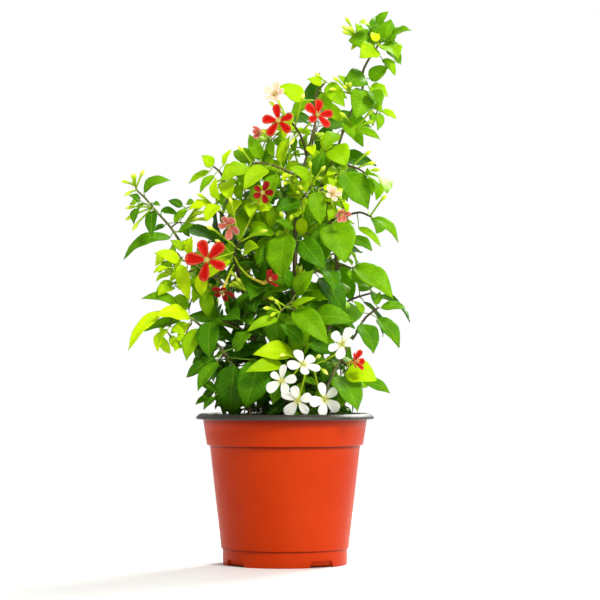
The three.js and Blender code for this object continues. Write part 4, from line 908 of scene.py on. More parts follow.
def green_stem_finish(tree):
    """Thin stems: brown green when old, yellow green in the stalks of leaves and flowers."""
    tone = tree.values("tone")
    patches = tree.use(MOTTLE, patch_size=6.0, grain_size=0.4, amount=0.5)
    fresh = tree.ramp(tone.light + patches.value,
                      (0.0, (0.09, 0.17, 0.012)), (0.5, (0.2, 0.38, 0.02)), (1.0, (0.5, 0.72, 0.06)))
    woody = tree.ramp(tone.chance + patches.value,
                      (0.0, (0.045, 0.03, 0.012)), (0.6, (0.1, 0.085, 0.022)), (1.0, (0.16, 0.2, 0.03)))
    dress(tree, tree.mix(tone.youth, fresh, woody), 0.55, tree.bump(patches.grain, 0.35, 0.3), 0.2)


def bud_finish(tree):
    """Buds and flower tubes: green at the foot, paler to the tip; youth tints them red."""
    blade, tone = tree.values("blade"), tree.values("tone")
    patches = tree.use(MOTTLE, patch_size=5.0, grain_size=0.4, amount=0.3)
    pale = tree.between(blade.along, 0.25, 1.0) * tree.between(tone.light, 0.0, 0.8, 0.25, 1.0)
    colour = tree.ramp(pale + patches.value,
                       (0.0, (0.36, 0.56, 0.01)), (0.45, (0.72, 0.86, 0.04)), (1.0, (0.95, 0.95, 0.3)))
    blush = tone.youth * tree.between(blade.along, 0.3, 1.0, 0.0, 0.5)
    colour = tree.mix(blush, colour, (0.62, 0.12, 0.05))
    dress(tree, colour, 0.5, tree.bump(patches.grain, 0.25, 0.3), 0.15, colour, 0.3)


def bark_finish(tree):
    """Brown bark with long cracks and paler, greener young wood."""
    blade = tree.values("blade")
    patches = tree.use(MOTTLE, patch_size=9.0, grain_size=0.7, amount=0.7)
    cracks = tree.noise(1400.0, 4, 0.6, tree.place(1, 1, 0.12))
    old = tree.ramp(cracks + patches.value,
                    (0.3, (0.04, 0.022, 0.01)), (0.55, (0.13, 0.082, 0.04)), (0.8, (0.27, 0.2, 0.11)))
    young = tree.mix(0.5, old, (0.13, 0.17, 0.03))
    colour = tree.mix(tree.between(blade.away, 2.0, 1.0), old, young)
    dress(tree, colour, 0.75, tree.bump(cracks + patches.grain * 0.4, 0.8, 0.6))


def soil_finish(tree):
    """Damp red brown earth with darker hollows and pale grit."""
    patches = tree.use(MOTTLE, patch_size=14.0, grain_size=0.8, amount=0.8)
    colour = tree.ramp(patches.grain + patches.value + tree.values("tone").light * 0.15,
                       (0.3, (0.035, 0.016, 0.008)), (0.6, (0.13, 0.058, 0.026)), (0.95, (0.32, 0.19, 0.1)))
    dress(tree, colour, 0.9, tree.bump(patches.grain, 0.9, 1.2))


# Painted shade just below the lip, the band's lower edge and the step above the foot: top of the dark line,
# its reach downward in mm, and its depth.
POT_CREASE_SHADE = [
    (POT_HEIGHT - LIP_HEIGHT, 7, 0.75), (BAND_BOTTOM - 0.05, 2.6, 0.85), (FOOT_HEIGHT + 0.3, 1.6, 0.75),
]


def pot_shell_finish(tree):
    """Orange red moulded plastic with flow marks, scuffs, painted shade in its creases and under its lip, and
    a fine satin grain.
    """
    patches = tree.use(MOTTLE, patch_size=45.0, grain_size=0.5, amount=0.5)
    scuffs = tree.use(MOTTLE, patch_size=7.0, grain_size=0.25, amount=1.0)
    flow = tree.noise(900.0, 3, 0.6, tree.place(0.15, 0.15, 1))
    colour = tree.ramp(patches.value + 0.5,
                       (0.2, (0.38, 0.022, 0.0)), (0.5, (0.44, 0.029, 0.0)), (0.8, (0.5, 0.037, 0.001)))
    worn = tree.between(scuffs.value, 0.12, 0.3, 0.0, 0.25)
    colour = tree.mix(worn, colour, (0.5, 0.055, 0.01))
    height = tree.wire("SeparateXYZ", {0: tree.place()}, 2)
    # Painted shade: each band darkens the colour toward the edge above it, as a shadow would.
    for top, reach, depth in POT_CREASE_SHADE:
        below = tree.between(height, (top - reach) * MM, top * MM, 0.0, depth)
        above = tree.between(height, (top + 0.4) * MM, (top + 0.2) * MM)
        colour = tree.mix(below * above, colour, (0.12, 0.006, 0.001))
    rough = tree.between(flow + scuffs.value, 0.3, 0.9, 0.36, 0.52)
    dress(tree, colour, rough, tree.bump(flow * 0.6 + scuffs.grain * 0.3, 0.12, 0.4), 0.08)


def pot_lining_finish(tree):
    """Black satin plastic of the lip and the inside, with dusty patches."""
    patches = tree.use(MOTTLE, patch_size=12.0, grain_size=0.4, amount=1.0)
    dust = tree.between(patches.value, 0.05, 0.3, 0.0, 0.3)
    colour = tree.mix(dust, (0.024, 0.019, 0.015), (0.15, 0.115, 0.085))
    rough = tree.between(patches.grain, 0.2, 0.8, 0.44, 0.58)
    dress(tree, colour, rough, tree.bump(patches.grain, 0.12, 0.3))


# Petals: base, edge and throat colour, the throat's reach, strength of the pale edge (partly the petal's
# colour, partly a painted highlight), depth of the streaks.
PETAL_FINISHES = {
    "petal_red": ((0.6, 0.006, 0.001), (0.92, 0.2, 0.1), (0.9, 0.6, 0.05), 0.16, 0.5, 0.4),
    "petal_dark_red": ((0.34, 0.008, 0.006), (0.6, 0.06, 0.04), (0.75, 0.5, 0.3), 0.14, 0.4, 0.4),
    "petal_pink": ((0.76, 0.2, 0.14), (0.88, 0.5, 0.38), (0.7, 0.1, 0.06), 0.3, 0.8, 0.25),
    "petal_cream": ((0.9, 0.68, 0.5), (0.94, 0.88, 0.74), (0.75, 0.36, 0.2), 0.35, 0.8, 0.15),
    "petal_white": ((0.95, 0.95, 0.88), (0.97, 0.97, 0.95), (0.8, 0.86, 0.3), 0.34, 0.5, 0.05),
}


def petal_finish(tree, base, edge, throat, reach, strength, streaks):
    """Thin soft petals that let light through."""
    petal = tree.use(PETAL_COLOUR, base=base, edge=edge, throat=throat, throat_reach=reach,
                     edge_share=strength, streak_depth=streaks)
    patches = tree.use(MOTTLE, patch_size=6.0, grain_size=0.3, amount=0.4)
    rough = tree.between(patches.grain, 0.2, 0.8, 0.5, 0.68)
    dress(tree, petal.color, rough, tree.bump(petal.height, 0.3, 0.3), 0.1, petal.color, 0.35)


def throat_finish(tree):
    """The raised yellow green rim round a bloom's mouth."""
    patches = tree.use(MOTTLE, patch_size=3.0, grain_size=0.3, amount=0.5)
    colour = tree.ramp(patches.value + 0.5, (0.2, (0.34, 0.46, 0.04)), (0.8, (0.72, 0.7, 0.12)))
    dress(tree, colour, 0.5, tree.bump(patches.grain, 0.3, 0.3))


def stamen_finish(tree):
    """Pale threads with yellow pollen at their ends."""
    patches = tree.use(MOTTLE, patch_size=1.5, grain_size=0.2, amount=0.6)
    pollen = tree.ramp(patches.value + 0.5, (0.2, (0.6, 0.4, 0.03)), (0.8, (0.85, 0.7, 0.12)))
    colour = tree.mix(tree.values("tone").light, (0.72, 0.76, 0.42), pollen)
    dress(tree, colour, 0.6, tree.bump(patches.grain, 0.3, 0.2))


def new_material(name, finish, *values):
    """A material whose nodes a finish sets out."""
    material = bpy.data.materials.new(name)
    material.use_nodes = True
    finish(Tree(material.node_tree), *values)
    return material


FINISHES = {
    "leaf": new_material("leaf_green", leaf_finish),
    "green_stem": new_material("green_stem", green_stem_finish),
    "bud": new_material("bud_green", bud_finish),
    "bark": new_material("bark_brown", bark_finish),
    "soil": new_material("soil_brown", soil_finish),
    "pot_shell": new_material("pot_red_plastic", pot_shell_finish),
    "pot_lining": new_material("pot_black_plastic", pot_lining_finish),
    "throat": new_material("throat_green", throat_finish),
    "stamen": new_material("stamen_yellow", stamen_finish),
}
for petal, looks in PETAL_FINISHES.items():
    FINISHES[petal] = new_material(petal + "_skin", petal_finish, *looks)


# Forms


class Form:
    """One piece in the making: points in millimetres, faces, their finish and surface values.

    blade is (place along, place across, distance across in mm), and tone is (light, chance, youth).
    """

    def __init__(self, *finishes):
        self.finishes = list(finishes)
        self.points, self.faces, self.finish = [], [], []
        self.blade, self.tone = [], []
        self.count = 0

    def add(self, points, faces, finish, blade=(0, 0, 0), tone=(0.5, 0.5, 0.5)):
        points = np.asarray(points, float).reshape(-1, 3)
        self.points.append(points)
        self.blade.append(np.broadcast_to(blade, points.shape))
        self.tone.append(np.broadcast_to(tone, points.shape))
        self.faces += [tuple(c + self.count for c in face) for face in faces]
        worn = [finish] * len(faces) if isinstance(finish, str) else finish
        self.finish += [self.finishes.index(name) for name in worn]
        self.count += len(points)

    def piece(self, name, slot, *nodes):
        """The finished object, riding on the body and standing for its solids."""
        made = new_object(name, np.concatenate(self.points), self.faces, self.finishes)
        mesh = made.data
        for key, values in (("blade", self.blade), ("tone", self.tone)):
            attribute = mesh.attributes.new(key, "FLOAT_VECTOR", "POINT")
            attribute.data.foreach_set("vector", np.concatenate(values).astype(np.float32).ravel())
        mesh.polygons.foreach_set("material_index", self.finish)
        mesh.polygons.foreach_set("use_smooth", [True] * len(self.faces))
        mesh.update()
        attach(made, "root")
        if nodes:
            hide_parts(*nodes)
        return made


def show(thing):
    """Puts an object into the scene."""
    bpy.context.scene.collection.objects.link(thing)
    return thing


def new_object(name, points, faces, finishes):
    """A mesh object from points in millimetres, in the scene."""
    mesh = bpy.data.meshes.new(name)
    mesh.from_pydata(np.asarray(points) * MM, [], faces)
    for finish in finishes:
        mesh.materials.append(FINISHES[finish])
    return show(bpy.data.objects.new(name, mesh))


def frames_along(centres):
    """The directions across and up at each point of a line, turning as little as they can."""
    ways = np.gradient(centres, axis=0)
    across = vec(1, 0, 0) if abs(ways[0][0]) < 0.9 * length_of(ways[0]) else vec(0, 1, 0)
    frames = []
    for way in ways:
        along = unit(way)
        across = unit(across - along * (across @ along))
        frames.append((across, np.cross(along, across)))
    return frames


def round_angles(sides):
    return np.arange(sides) / sides * 2 * math.pi


def ringed(rings, foot, end):
    """A closed body: rings of points, each joined to the next, with a point at its foot and at its end."""
    rows, sides = len(rings), len(rings[0])
    faces = []
    for i in range(rows - 1):
        for k in range(sides):
            a, b = i * sides + k, i * sides + (k + 1) % sides
            faces.append((a, b, b + sides, a + sides))
    last = (rows - 1) * sides
    for k in range(sides):
        after = (k + 1) % sides
        faces += [(rows * sides, after, k), (rows * sides + 1, last + k, last + after)]
    return np.concatenate([*rings, [foot], [end]]), faces


def add_tube(form, finish, centres, radii, sides, tone, swell=None):
    """A round tube along the centres, closed by a point at both ends."""
    angles = round_angles(sides)
    rings, blades = [], []
    rows = len(centres)
    for i, ((across, up), centre) in enumerate(zip(frames_along(centres), centres)):
        radius = radii[i] * (1 if swell is None else 1 + swell[i] * np.cos(3 * angles + i))
        radius = np.broadcast_to(radius, angles.shape)[:, None]
        rings.append(centre + radius * (np.outer(np.cos(angles), across) + np.outer(np.sin(angles), up)))
        blades.append([(i / (rows - 1), a / (2 * math.pi), radii[i]) for a in angles])
    blade = np.concatenate([*blades, [(0, 0, radii[0])], [(1, 0, radii[-1])]])
    form.add(*ringed(rings, centres[0], centres[-1]), finish, blade, tone)


def add_shell(form, finish, grid, blade, tone, thickness, up):
    """A thin closed sheet on both sides of a grid of points, (rows, columns, 3)."""
    rows, columns = grid.shape[:2]
    normal = np.cross(np.gradient(grid, axis=0), np.gradient(grid, axis=1))
    normal = normal / np.maximum(np.linalg.norm(normal, axis=2, keepdims=True), 1e-9) + 0.05 * up
    normal /= np.linalg.norm(normal, axis=2, keepdims=True)
    size = rows * columns
    points = np.concatenate([grid + normal * thickness / 2, grid - normal * thickness / 2])
    faces = []
    for i in range(rows - 1):
        for j in range(columns - 1):
            a = i * columns + j
            face = (a, a + columns, a + columns + 1, a + 1)
            faces.append(face)
            faces.append(tuple(c + size for c in reversed(face)))
    loop = [i * columns for i in range(rows)] + [size - columns + j for j in range(1, columns)]
    loop += [i * columns + columns - 1 for i in range(rows - 2, -1, -1)]
    loop += [j for j in range(columns - 2, 0, -1)]
    for c, d in zip(loop, loop[1:] + loop[:1]):
        faces.append((d, c, c + size, d + size))
    form.add(points, faces, finish, np.concatenate([blade.reshape(size, 3)] * 2), tone)


# Leaves


def leaf_sheet(leaf, rows, columns):
    """The fine middle surface of a leaf, with its waved edge, and its surface values."""
    places = 0.002 + 0.9965 * np.linspace(0, 1, rows) ** 1.35
    t, side = np.meshgrid(places, np.linspace(-1, 1, columns), indexing="ij")
    half = leaf.width / 2 * leaf_outline(t) * (1 - TIP_NARROWING * ease(0.78, 1, t))
    phase = dressing.share() * 2 * math.pi
    waves = 1.4 + dressing.share()
    fold = LEAF_FOLD * (0.55 + 0.6 * dressing.share())
    trough = np.sqrt(side**2 + 0.02) - 0.1
    rise = leaf.arch * leaf.length * 4 * t * (1 - t) + fold * half * trough
    wave = np.sin(2 * math.pi * waves * t + phase + 1.1 * np.sign(side))
    rise = rise + EDGE_WAVE * leaf.width * side**2 * wave
    rise = rise - TIP_DROOP * leaf.length * ease(0.6, 1, t) * (1 + dressing.spread(1))
    ripple = np.cos(2 * math.pi * (6.5 * t - 1.5 * np.abs(side)))
    rise = rise + EDGE_RIPPLE * leaf.width * ripple * np.abs(side) * (1 - t)
    sway = dressing.spread(LEAF_SWAY) * leaf.length * 4 * t * (1 - t)
    spine = leaf.base + np.multiply.outer(leaf.length * t, leaf.along)
    grid = spine + np.multiply.outer(half * side + sway, leaf.across) + np.multiply.outer(rise, leaf.up)
    return grid, np.stack([t, side, half * side], axis=2)


def add_leaf(form, leaf, light, rows=15, columns=9):
    """A blade on its stalk."""
    tone = (min(max(light, 0), 1), dressing.share(), 0)
    grid, blade = leaf_sheet(leaf, rows, columns)
    add_shell(form, "leaf", grid, blade, tone, BLADE_THICKNESS, leaf.up)
    seat = grid[1, columns // 2]
    reach = length_of(seat - leaf.root)
    bend = (leaf.root + leaf.base) / 2 + leaf.up * 0.12 * reach
    centres = smooth([leaf.root, bend, leaf.base, seat], 6)
    add_tube(form, "green_stem", centres, STALK_RADIUS * np.linspace(1.1, 0.6, len(centres)), 5, tone)


# How light the leaves of a shoot are, from 0, old and shaded, to 1, young and lit: partly the leaves' own
# colour, partly painted light and shade.
SHOOT_LIGHT = {
    "shoot_top": 0.54, "shoot_crown": 0.6, "spray_crown": 0.6, "shoot_shoulder": 0.56,
    "shoot_right_high": 0.5, "shoot_right_middle": 0.45, "shoot_right_low": 0.4, "shoot_low_right": 0.42,
    "shoot_rim_right": 0.5, "shoot_middle": 0.48, "spray_white": 0.5, "shoot_centre_low": 0.4,
    "shoot_centre_high": 0.42, "shoot_upper_left": 0.52, "shoot_left_top": 0.7, "shoot_left_upper": 0.78,
    "spray_left": 0.58, "shoot_left_middle": 0.76, "shoot_branch": 0.35, "shoot_low_left": 0.44,
    "shoot_rim_left": 0.2,
}
BACK_LIGHT = 0.3
# Leaves with a lightness of their own, partly their colour and partly painted light and shade, by their
# places in their shoot.
LEAF_LIGHT = {
    "shoot_top": {8: 1}, "shoot_crown": {2: 0.78}, "shoot_right_high": {1: 0.34},
    "shoot_right_middle": {0: 0.4}, "shoot_right_low": {0: 0.5}, "shoot_low_right": {2: 0.36, 3: 0.26},
    "shoot_rim_right": {0: 0.75, 2: 0.38}, "shoot_middle": {0: 0.4}, "spray_white": {0: 0.8},
    "shoot_centre_low": {0: 0.42}, "shoot_centre_high": {0: 0.48}, "shoot_left_upper": {0: 0.95},
    "shoot_left_middle": {1: 0.85, 2: 0.95}, "shoot_low_left": {1: 0.95, 2: 0.94, 6: 0.28},
    "shoot_rim_left": {2: 0.22, 4: 0.3}, "shoot_filler_9": {3: 0.2}, "shoot_filler_13": {2: 0.2},
}
# Colour of each shoot's buds, from 0, green, to 1, creamy white.
PALE_BUDS = {"spray_white": 0.85, "spray_left": 0.6, "spray_crown": 0.75, "shoot_branch": 0.45}
GREEN_BUDS = 0.3


def leaf_light(name, index, leaf):
    """A leaf's own light, or that of its shoot, lighter where the leaf is narrow, by chance: partly its
    colour, partly painted light and shade.
    """
    own = LEAF_LIGHT.get(name, {})
    if index in own:
        return own[index]
    return SHOOT_LIGHT.get(name, BACK_LIGHT) + 0.006 * (16 - leaf.width) + dressing.spread(0.4)


# Shoots


def add_bud(form, centres, tone):
    """A bud: a long thin stalk that swells to a pointed head."""
    stalk = smooth(centres[:2], 4)
    head = smooth(centres[1:], 7)
    swelling = [0.95, 1.1, 1.45, 1.75, 1.8, 1.45, 0.8, 0.15]
    radii = [0.75, 0.8, 0.85, 0.9] + [0.95 * r for r in swelling]
    add_tube(form, "bud", np.concatenate([stalk[:-1], head]), radii, 7, tone)


def add_flower_tube(form, centres, bloom, tone):
    """The long tube behind a bloom with the small green cup of sepals at its end."""
    line = np.concatenate([smooth(centres[:-1], 8), [centres[-1]]])
    radii = np.linspace(0.8, 1.05, len(line))
    radii[-3:] = [1.0, 1.45, 1.9]
    add_tube(form, "bud", line, radii, 7, tone)
    for petal_angle, _ in bloom.petals:
        angle = petal_angle + math.pi / PETALS
        foot = bloom_point(bloom, angle, 1.2, -1.6)
        tip = bloom_point(bloom, angle, 3.4, -0.9)
        grid, blade = leaf_sheet(leaf_frame(foot, foot, tip, 1.8, 0.1, bloom.out), 5, 3)
        add_shell(form, "bud", grid, blade, tone, 0.25, bloom.out)


def build_shoot(name, shoot):
    """A shoot's stem, leaves, buds, flower tubes and the twigs that fill in on it."""
    form = Form("leaf", "green_stem", "bud")
    line = smooth(shoot.path, 6 * (len(shoot.path) - 1))
    line = np.concatenate([line, [line[-1] + unit(line[-1] - line[-2]) * SHOOT_TIP]])
    radii = np.linspace(SHOOT_RADIUS, 0.7 * SHOOT_RADIUS, len(line))
    radii[-1] = 0.4
    swell = 0.08 * np.sin(np.arange(len(line)) * 1.7)
    add_tube(form, "green_stem", line, radii, 8, (0.25, dressing.share(), 1), swell)
    for index, leaf in enumerate(shoot.grown):
        add_leaf(form, leaf, leaf_light(name, index, leaf))
    for centres in shoot.buds:
        pale = PALE_BUDS.get(name, GREEN_BUDS)
        add_bud(form, centres, (pale + dressing.spread(0.3), dressing.share(), 0))
    for centres, bloom in shoot.tubes:
        add_flower_tube(form, centres, bloom, (0.3, dressing.share(), bloom.colour in ("red", "dark_red")))
    for twig in shoot.twigs:
        add_twig(form, twig)
    form.piece(name + "_foliage", "leaf", name)


# Wood


def build_wood(name, limbs):
    """A woody stem and its limbs, thicker at the joints."""
    form = Form("bark")
    for limb in limbs:
        line = smooth(limb.path, 9 * (len(limb.path) - 1))
        radii = np.linspace(limb.foot, limb.end, len(line))
        joints = 1 + 0.16 * np.maximum(0, np.cos(np.arange(len(line)) * 2 * math.pi / 7)) ** 6
        swell = 0.06 * np.sin(np.arange(len(line)) * 2.3)
        add_tube(form, "bark", line, radii * joints, 12, (0.5, dressing.share(), 0), swell)
    form.piece(name + "_bark", "wood_stem", name)


# Blooms


def petal_sheet(bloom, angle, length, rows, columns):
    """The middle surface of a petal: narrow at the throat, broad and round near its tip."""
    places = np.sin(np.linspace(0.02, 0.5, rows) * math.pi)
    u, side = np.meshgrid(places, np.linspace(-1, 1, columns), indexing="ij")
    full = 0.9 + 0.35 * dressing.share()
    half = PETAL_HALF * length * full * u**0.75 * np.sqrt(np.maximum(1 - u**3.4, 0.0004))
    curl = dressing.spread(2)
    twist = dressing.spread(0.9)
    height = PETAL_THICKNESS / 2 + PETAL_CUP * side**2 * np.sin(math.pi * u) * (0.6 + 0.5 * dressing.share())
    height = height - PETAL_CURL * length * u**3 * (1 + curl) + twist * side * half * 0.5
    height = height + 0.2 * np.sin(side * 5 + 6 * u) * u
    share = (0.7 + (length - 0.7) * u) / math.hypot(1, bloom.lift)
    out_way = bloom.level * math.cos(angle) + bloom.side * math.sin(angle)
    across = bloom.side * math.cos(angle) - bloom.level * math.sin(angle)
    grid = bloom.centre + np.multiply.outer(share, out_way) + np.multiply.outer(half * side, across)
    grid = grid + np.multiply.outer(share * bloom.lift + height, bloom.out)
    return grid, np.stack([u, side, half * side], axis=2)


def build_bloom(bloom):
    """A bloom's petals, the rim of its mouth, and its stamens with their pollen."""
    petal = "petal_" + bloom.colour
    form = Form(petal, "throat", "stamen")
    for angle, length in bloom.petals:
        tone = (dressing.share(), dressing.share(), 0)
        angle = angle + dressing.spread(0.24)
        grid, blade = petal_sheet(bloom, angle, length * (1 - 0.1 * dressing.share()), 12, 9)
        add_shell(form, petal, grid, blade, tone, PETAL_THICKNESS * 0.6, bloom.out)
    rim = np.array([bloom.centre + bloom.out * h for h in (0.1, 0.5, 1.0, 1.3)])
    add_tube(form, "throat", rim, [1.5, 1.5, 1.2, 0.5], 10, (0.5, 0.5, 0))
    for k in range(2 * PETALS):
        angle = (k + 0.5 + dressing.spread(0.5)) * math.pi / PETALS
        tall = STAMEN_HEIGHTS[k % 2] + dressing.spread(0.8)
        foot = bloom_point(bloom, angle, 0.5, 0.8)
        tip = bloom_point(bloom, angle, 1.9 + dressing.spread(0.8), tall)
        line = smooth([foot, (foot + tip) / 2 + bloom.out * 0.4, tip], 3)
        add_tube(form, "stamen", line, [0.16, 0.14, 0.13, 0.12], 4, (0, 0.5, 0))
        pollen = np.array([tip - bloom.out * 0.35, tip, tip + bloom.out * 0.45])
        add_tube(form, "stamen", pollen, [0.2, 0.42, 0.2], 5, (1, 0.5, 0))
    form.piece(bloom.name + "_petals", petal, bloom.name)


# Twigs that fill the bush

# The outline of the dense foliage: height, left and right side, and half its depth.
OUTLINE = [
    (120, -56, 54, 50), (147, -62, 64, 56), (164, -72, 64, 60), (181, -78, 56, 62), (198, -80, 54, 62),
    (223, -80, 55, 62), (240, -80, 58, 60), (266, -78, 58, 58), (287, -64, 56, 54), (308, -62, 55, 50),
    (333, -60, 56, 44), (350, -40, 52, 34), (366, -14, 42, 22),
]
OUTLINE_TOP = OUTLINE[-1][0]


class Tuft:
    """A place beyond the dense foliage that fills up too: its leaves' length and how light they are, partly
    their colour and partly painted light and shade.
    """

    def __init__(self, middle, half, leaf, light, wishes=400):
        self.middle, self.half = vec(*middle), vec(*half)
        self.leaf, self.light, self.wishes = leaf, light, wishes

    def room(self, points):
        """Whether points lie in the tuft, or a little beyond it."""
        return bool(np.all(np.abs(points - self.middle) < 1.25 * self.half + 3))


TUFTS = [
    Tuft((78, -5, 444), (18, 16, 17), 18, 0.54, 700), Tuft((70, -8, 396), (18, 16, 22), 22, 0.58),
    Tuft((-86, -22, 244), (17, 18, 24), 24, 0.8, 700), Tuft((-90, -22, 200), (19, 18, 16), 22, 0.85, 300),
    Tuft((-88, -22, 288), (13, 12, 14), 16, 0.36), Tuft((-117, -20, 302), (9, 9, 10), 13, 0.45),
    Tuft((-42, -34, 141), (24, 18, 14), 21, 0.14, 600), Tuft((34, -38, 139), (26, 16, 12), 19, 0.3, 300),
]


def outline_at(z):
    """Left and right side of the dense foliage at a height, and half its depth."""
    heights, left, right, depth = zip(*OUTLINE)
    return [np.interp(z, heights, side) for side in (left, right, depth)]


def in_outline(points, slack=4):
    """Whether points lie in the dense foliage, or a little beyond it."""
    x, y, z = points.T
    left, right, depth = outline_at(z)
    beside = np.abs(x - (left + right) / 2) < (right - left) / 2 + slack
    return bool(np.all(beside & (np.abs(y) < depth + slack) & (z < OUTLINE_TOP + 12)))


def hides_bloom(points):
    """Whether points stand in front of an open bloom."""
    for bloom in BLOOM_FRAMES.values():
        aside = points - bloom.centre
        near = np.hypot(aside[:, 0], aside[:, 2]) < bloom.petals[0][1]
        if np.any(near & (aside[:, 1] < 2)):
            return True
    return False


def seen_leaves():
    """The leaves of the named shoots as seen from the front: foot, tip and half width."""
    named = [shoot for name, shoot in SHOOTS.items() if "filler" not in name]
    leaves = [leaf for shoot in named for leaf in shoot.grown if leaf.base[1] < 0]
    foot = np.array([leaf.base for leaf in leaves])
    tip = np.array([leaf.base + leaf.along * leaf.length for leaf in leaves])
    return foot, tip, np.array([0.36 * leaf.width for leaf in leaves])


SEEN_FOOT, SEEN_TIP, SEEN_HALF = seen_leaves()


def hides_leaf(points):
    """Whether points stand in front of a leaf of the named shoots."""
    way = (SEEN_TIP - SEEN_FOOT)[:, [0, 2]]
    aside = points[:, None, [0, 2]] - SEEN_FOOT[:, [0, 2]]
    share = np.clip((aside * way).sum(axis=2) / (way**2).sum(axis=1), 0.1, 0.9)
    far = np.linalg.norm(aside - share[..., None] * way, axis=2)
    depth = SEEN_FOOT[:, 1] + share * (SEEN_TIP - SEEN_FOOT)[:, 1]
    return bool(np.any((far < SEEN_HALF) & (points[:, 1, None] < depth)))


def bush_wish(filling, low):
    """A place to fill in the dense foliage, which is sparser to its top, or nothing."""
    top = LOW_TWIG_TOP if low else OUTLINE_TOP
    z = LOWEST_TWIG + (top - LOWEST_TWIG) * filling.share()
    left, right, depth = outline_at(z)
    across, deep = filling.spread(2), filling.spread(2)
    size = (28 + 16 * filling.share()) * (1 - 0.45 * ease(240, 330, z)) * (0.55 if low else 1)
    if across**2 + deep**2 > 1 or filling.share() < 0.88 * ease(285, 345, z):
        return None
    place = vec((left + right) / 2 + across * (right - left) / 2, deep * depth, z)
    return SimpleNamespace(place=place, size=size, room=in_outline, light=None)


def tuft_wish(filling, tuft):
    """A place to fill in a tuft, or nothing."""
    away = vec(filling.spread(2), filling.spread(2), filling.spread(2))
    size = tuft.leaf * (0.8 + 0.5 * filling.share())
    if length_of(away) > 1:
        return None
    return SimpleNamespace(place=tuft.middle + away * tuft.half, size=size, room=tuft.room, light=tuft.light)


def fill_bush():
    """Twigs from the nearest stems into the gaps of the bush, with pairs of small leaves and buds."""
    filling = Draws(INFILL_SEED)
    stems = [(name, smooth(limb.path, 40)[5:]) for name, limbs in WOOD.items() for limb in limbs]
    stems += [(name, shoot.fine[3:]) for name, shoot in SHOOTS.items()]
    owners = [name for name, line in stems for _ in line]
    places = [point for _, line in stems for point in line]
    wishes = [bush_wish(filling, k < LOW_WISHES) for k in range(TWIG_WISHES)]
    wishes += [tuft_wish(filling, tuft) for tuft in TUFTS for _ in range(tuft.wishes)]
    twigs = []
    for wish in filter(None, wishes):
        chance = filling.share()
        gaps = np.linalg.norm(np.array(places) - wish.place, axis=1)
        close = int(np.argmin(gaps))
        if not TWIG_REACH[0] < gaps[close] < TWIG_REACH[1]:
            continue
        owner, start = owners[close], places[close]
        middle = (start + wish.place) / 2 + vec(0, 0, 0.18 * gaps[close])
        line = smooth([start, middle, wish.place], 8)
        if hides_bloom(line) or not clear_of(line[3:], owner, TWIG_GAP, TWIG_GAP):
            continue
        budding = wish.place[2] > BUD_HEIGHT and chance < BUD_SHARE
        leaves = twig_leaves(owner, line, wish, filling, chance, budding)
        if len(leaves) < 2:
            continue
        stand(owner, "twig", line)
        owners += [owner] * 3
        places += [line[4], line[6], line[8]]
        buds = twig_buds(owner, line, filling) if budding else []
        twigs.append(SimpleNamespace(
            owner=owner, line=line, leaves=leaves, buds=buds, chance=chance, light=wish.light))
    return twigs


def twig_leaves(owner, line, wish, filling, chance, budding):
    """Opposite pairs along a twig, and at its end where no buds stand there."""
    leaves = []
    places = [(5, math.pi / 2), (5, 1.5 * math.pi)]
    if not budding:
        places = [(8, 0), (8, math.pi)] + places
    for index, quarter in places:
        root = line[index]
        stem = unit(line[index] - line[index - 1])
        for _ in range(TWIG_TRIES):
            angle = quarter + chance * 2 + filling.spread(0.9)
            droop = 0.3 + filling.spread(0.6)
            length = wish.size * (1 - 0.35 * filling.share())
            out = square_to(stem, angle, NUDGE)
            base = root + out * TWIG_STALK_OUT + stem * TWIG_STALK_ALONG
            way = unit(out + stem * 0.6 + vec(0, 0, -droop))
            front = FRONTNESS if base[1] < 0 else 0
            face = unit(facing(base, front) + vec(filling.spread(0.7), filling.spread(0.3), 0))
            if abs(way @ face) > 0.9:
                continue
            leaf = leaf_frame(root, base, base + way * length, (0.48 + 0.16 * chance) * length, 0.12, face)
            cloud = leaf_points(leaf, *FEW_SPOTS)
            if not (clear_of_pot(cloud) and wish.room(cloud)) or hides_bloom(cloud) or hides_leaf(cloud):
                continue
            if clear_of(cloud, owner, INFILL_GAP, INFILL_GAP):
                stand(owner, "leaf", cloud)
                leaves.append(leaf)
                break
    return leaves


def twig_buds(owner, line, filling):
    """A small spray of buds at the end of a twig."""
    end = line[-1]
    stem = unit(line[-1] - line[-2])
    buds = []
    count = 4 + int(3 * filling.share())
    for k in range(count):
        angle = 2 * math.pi * k / count + filling.spread(0.6)
        open_way = 0.3 + 0.4 * filling.share()
        way = unit(stem + square_to(stem, angle, NUDGE) * open_way + vec(0, 0, 0.9))
        centres = bud_points(end - stem * 0.3, end + way * (14 + 9 * filling.share()))
        if clear_of(centres[1:], owner, BUD_GAP, BUD_GAP) and not hides_bloom(centres):
            buds.append(centres)
    for centres in buds:
        stand(owner, "stem", smooth(centres, 6))
    return buds


def bush_light(place):
    """Leaves are lighter toward the top, the outside and the right of the bush: partly the fresher colour of
    young leaves, partly painted light and shade.
    """
    x, y, z = place
    left, right, depth = outline_at(z)
    edge = max(abs(2 * x - left - right) / (right - left), -y / depth)
    return 0.12 + 0.34 * ease(190, 330, z) + 0.25 * edge * ease(130, 230, z) + 0.16 * ease(-50, 30, x)


def add_twig(form, twig):
    """A twig, greener the higher it starts, with its leaves and buds."""
    radii = np.linspace(TWIG_RADIUS, 0.5, len(twig.line))
    woody = 1 - 0.5 * ease(250, 380, twig.line[0][2])
    add_tube(form, "green_stem", twig.line, radii, 5, (0.3, twig.chance, woody))
    for leaf in twig.leaves:
        light = bush_light(leaf.base) if twig.light is None else twig.light
        add_leaf(form, leaf, float(light + dressing.spread(0.44)), 9, 5)
    for centres in twig.buds:
        add_bud(form, centres, (0.35 + dressing.spread(0.4), dressing.share(), 0))


# Pot and soil


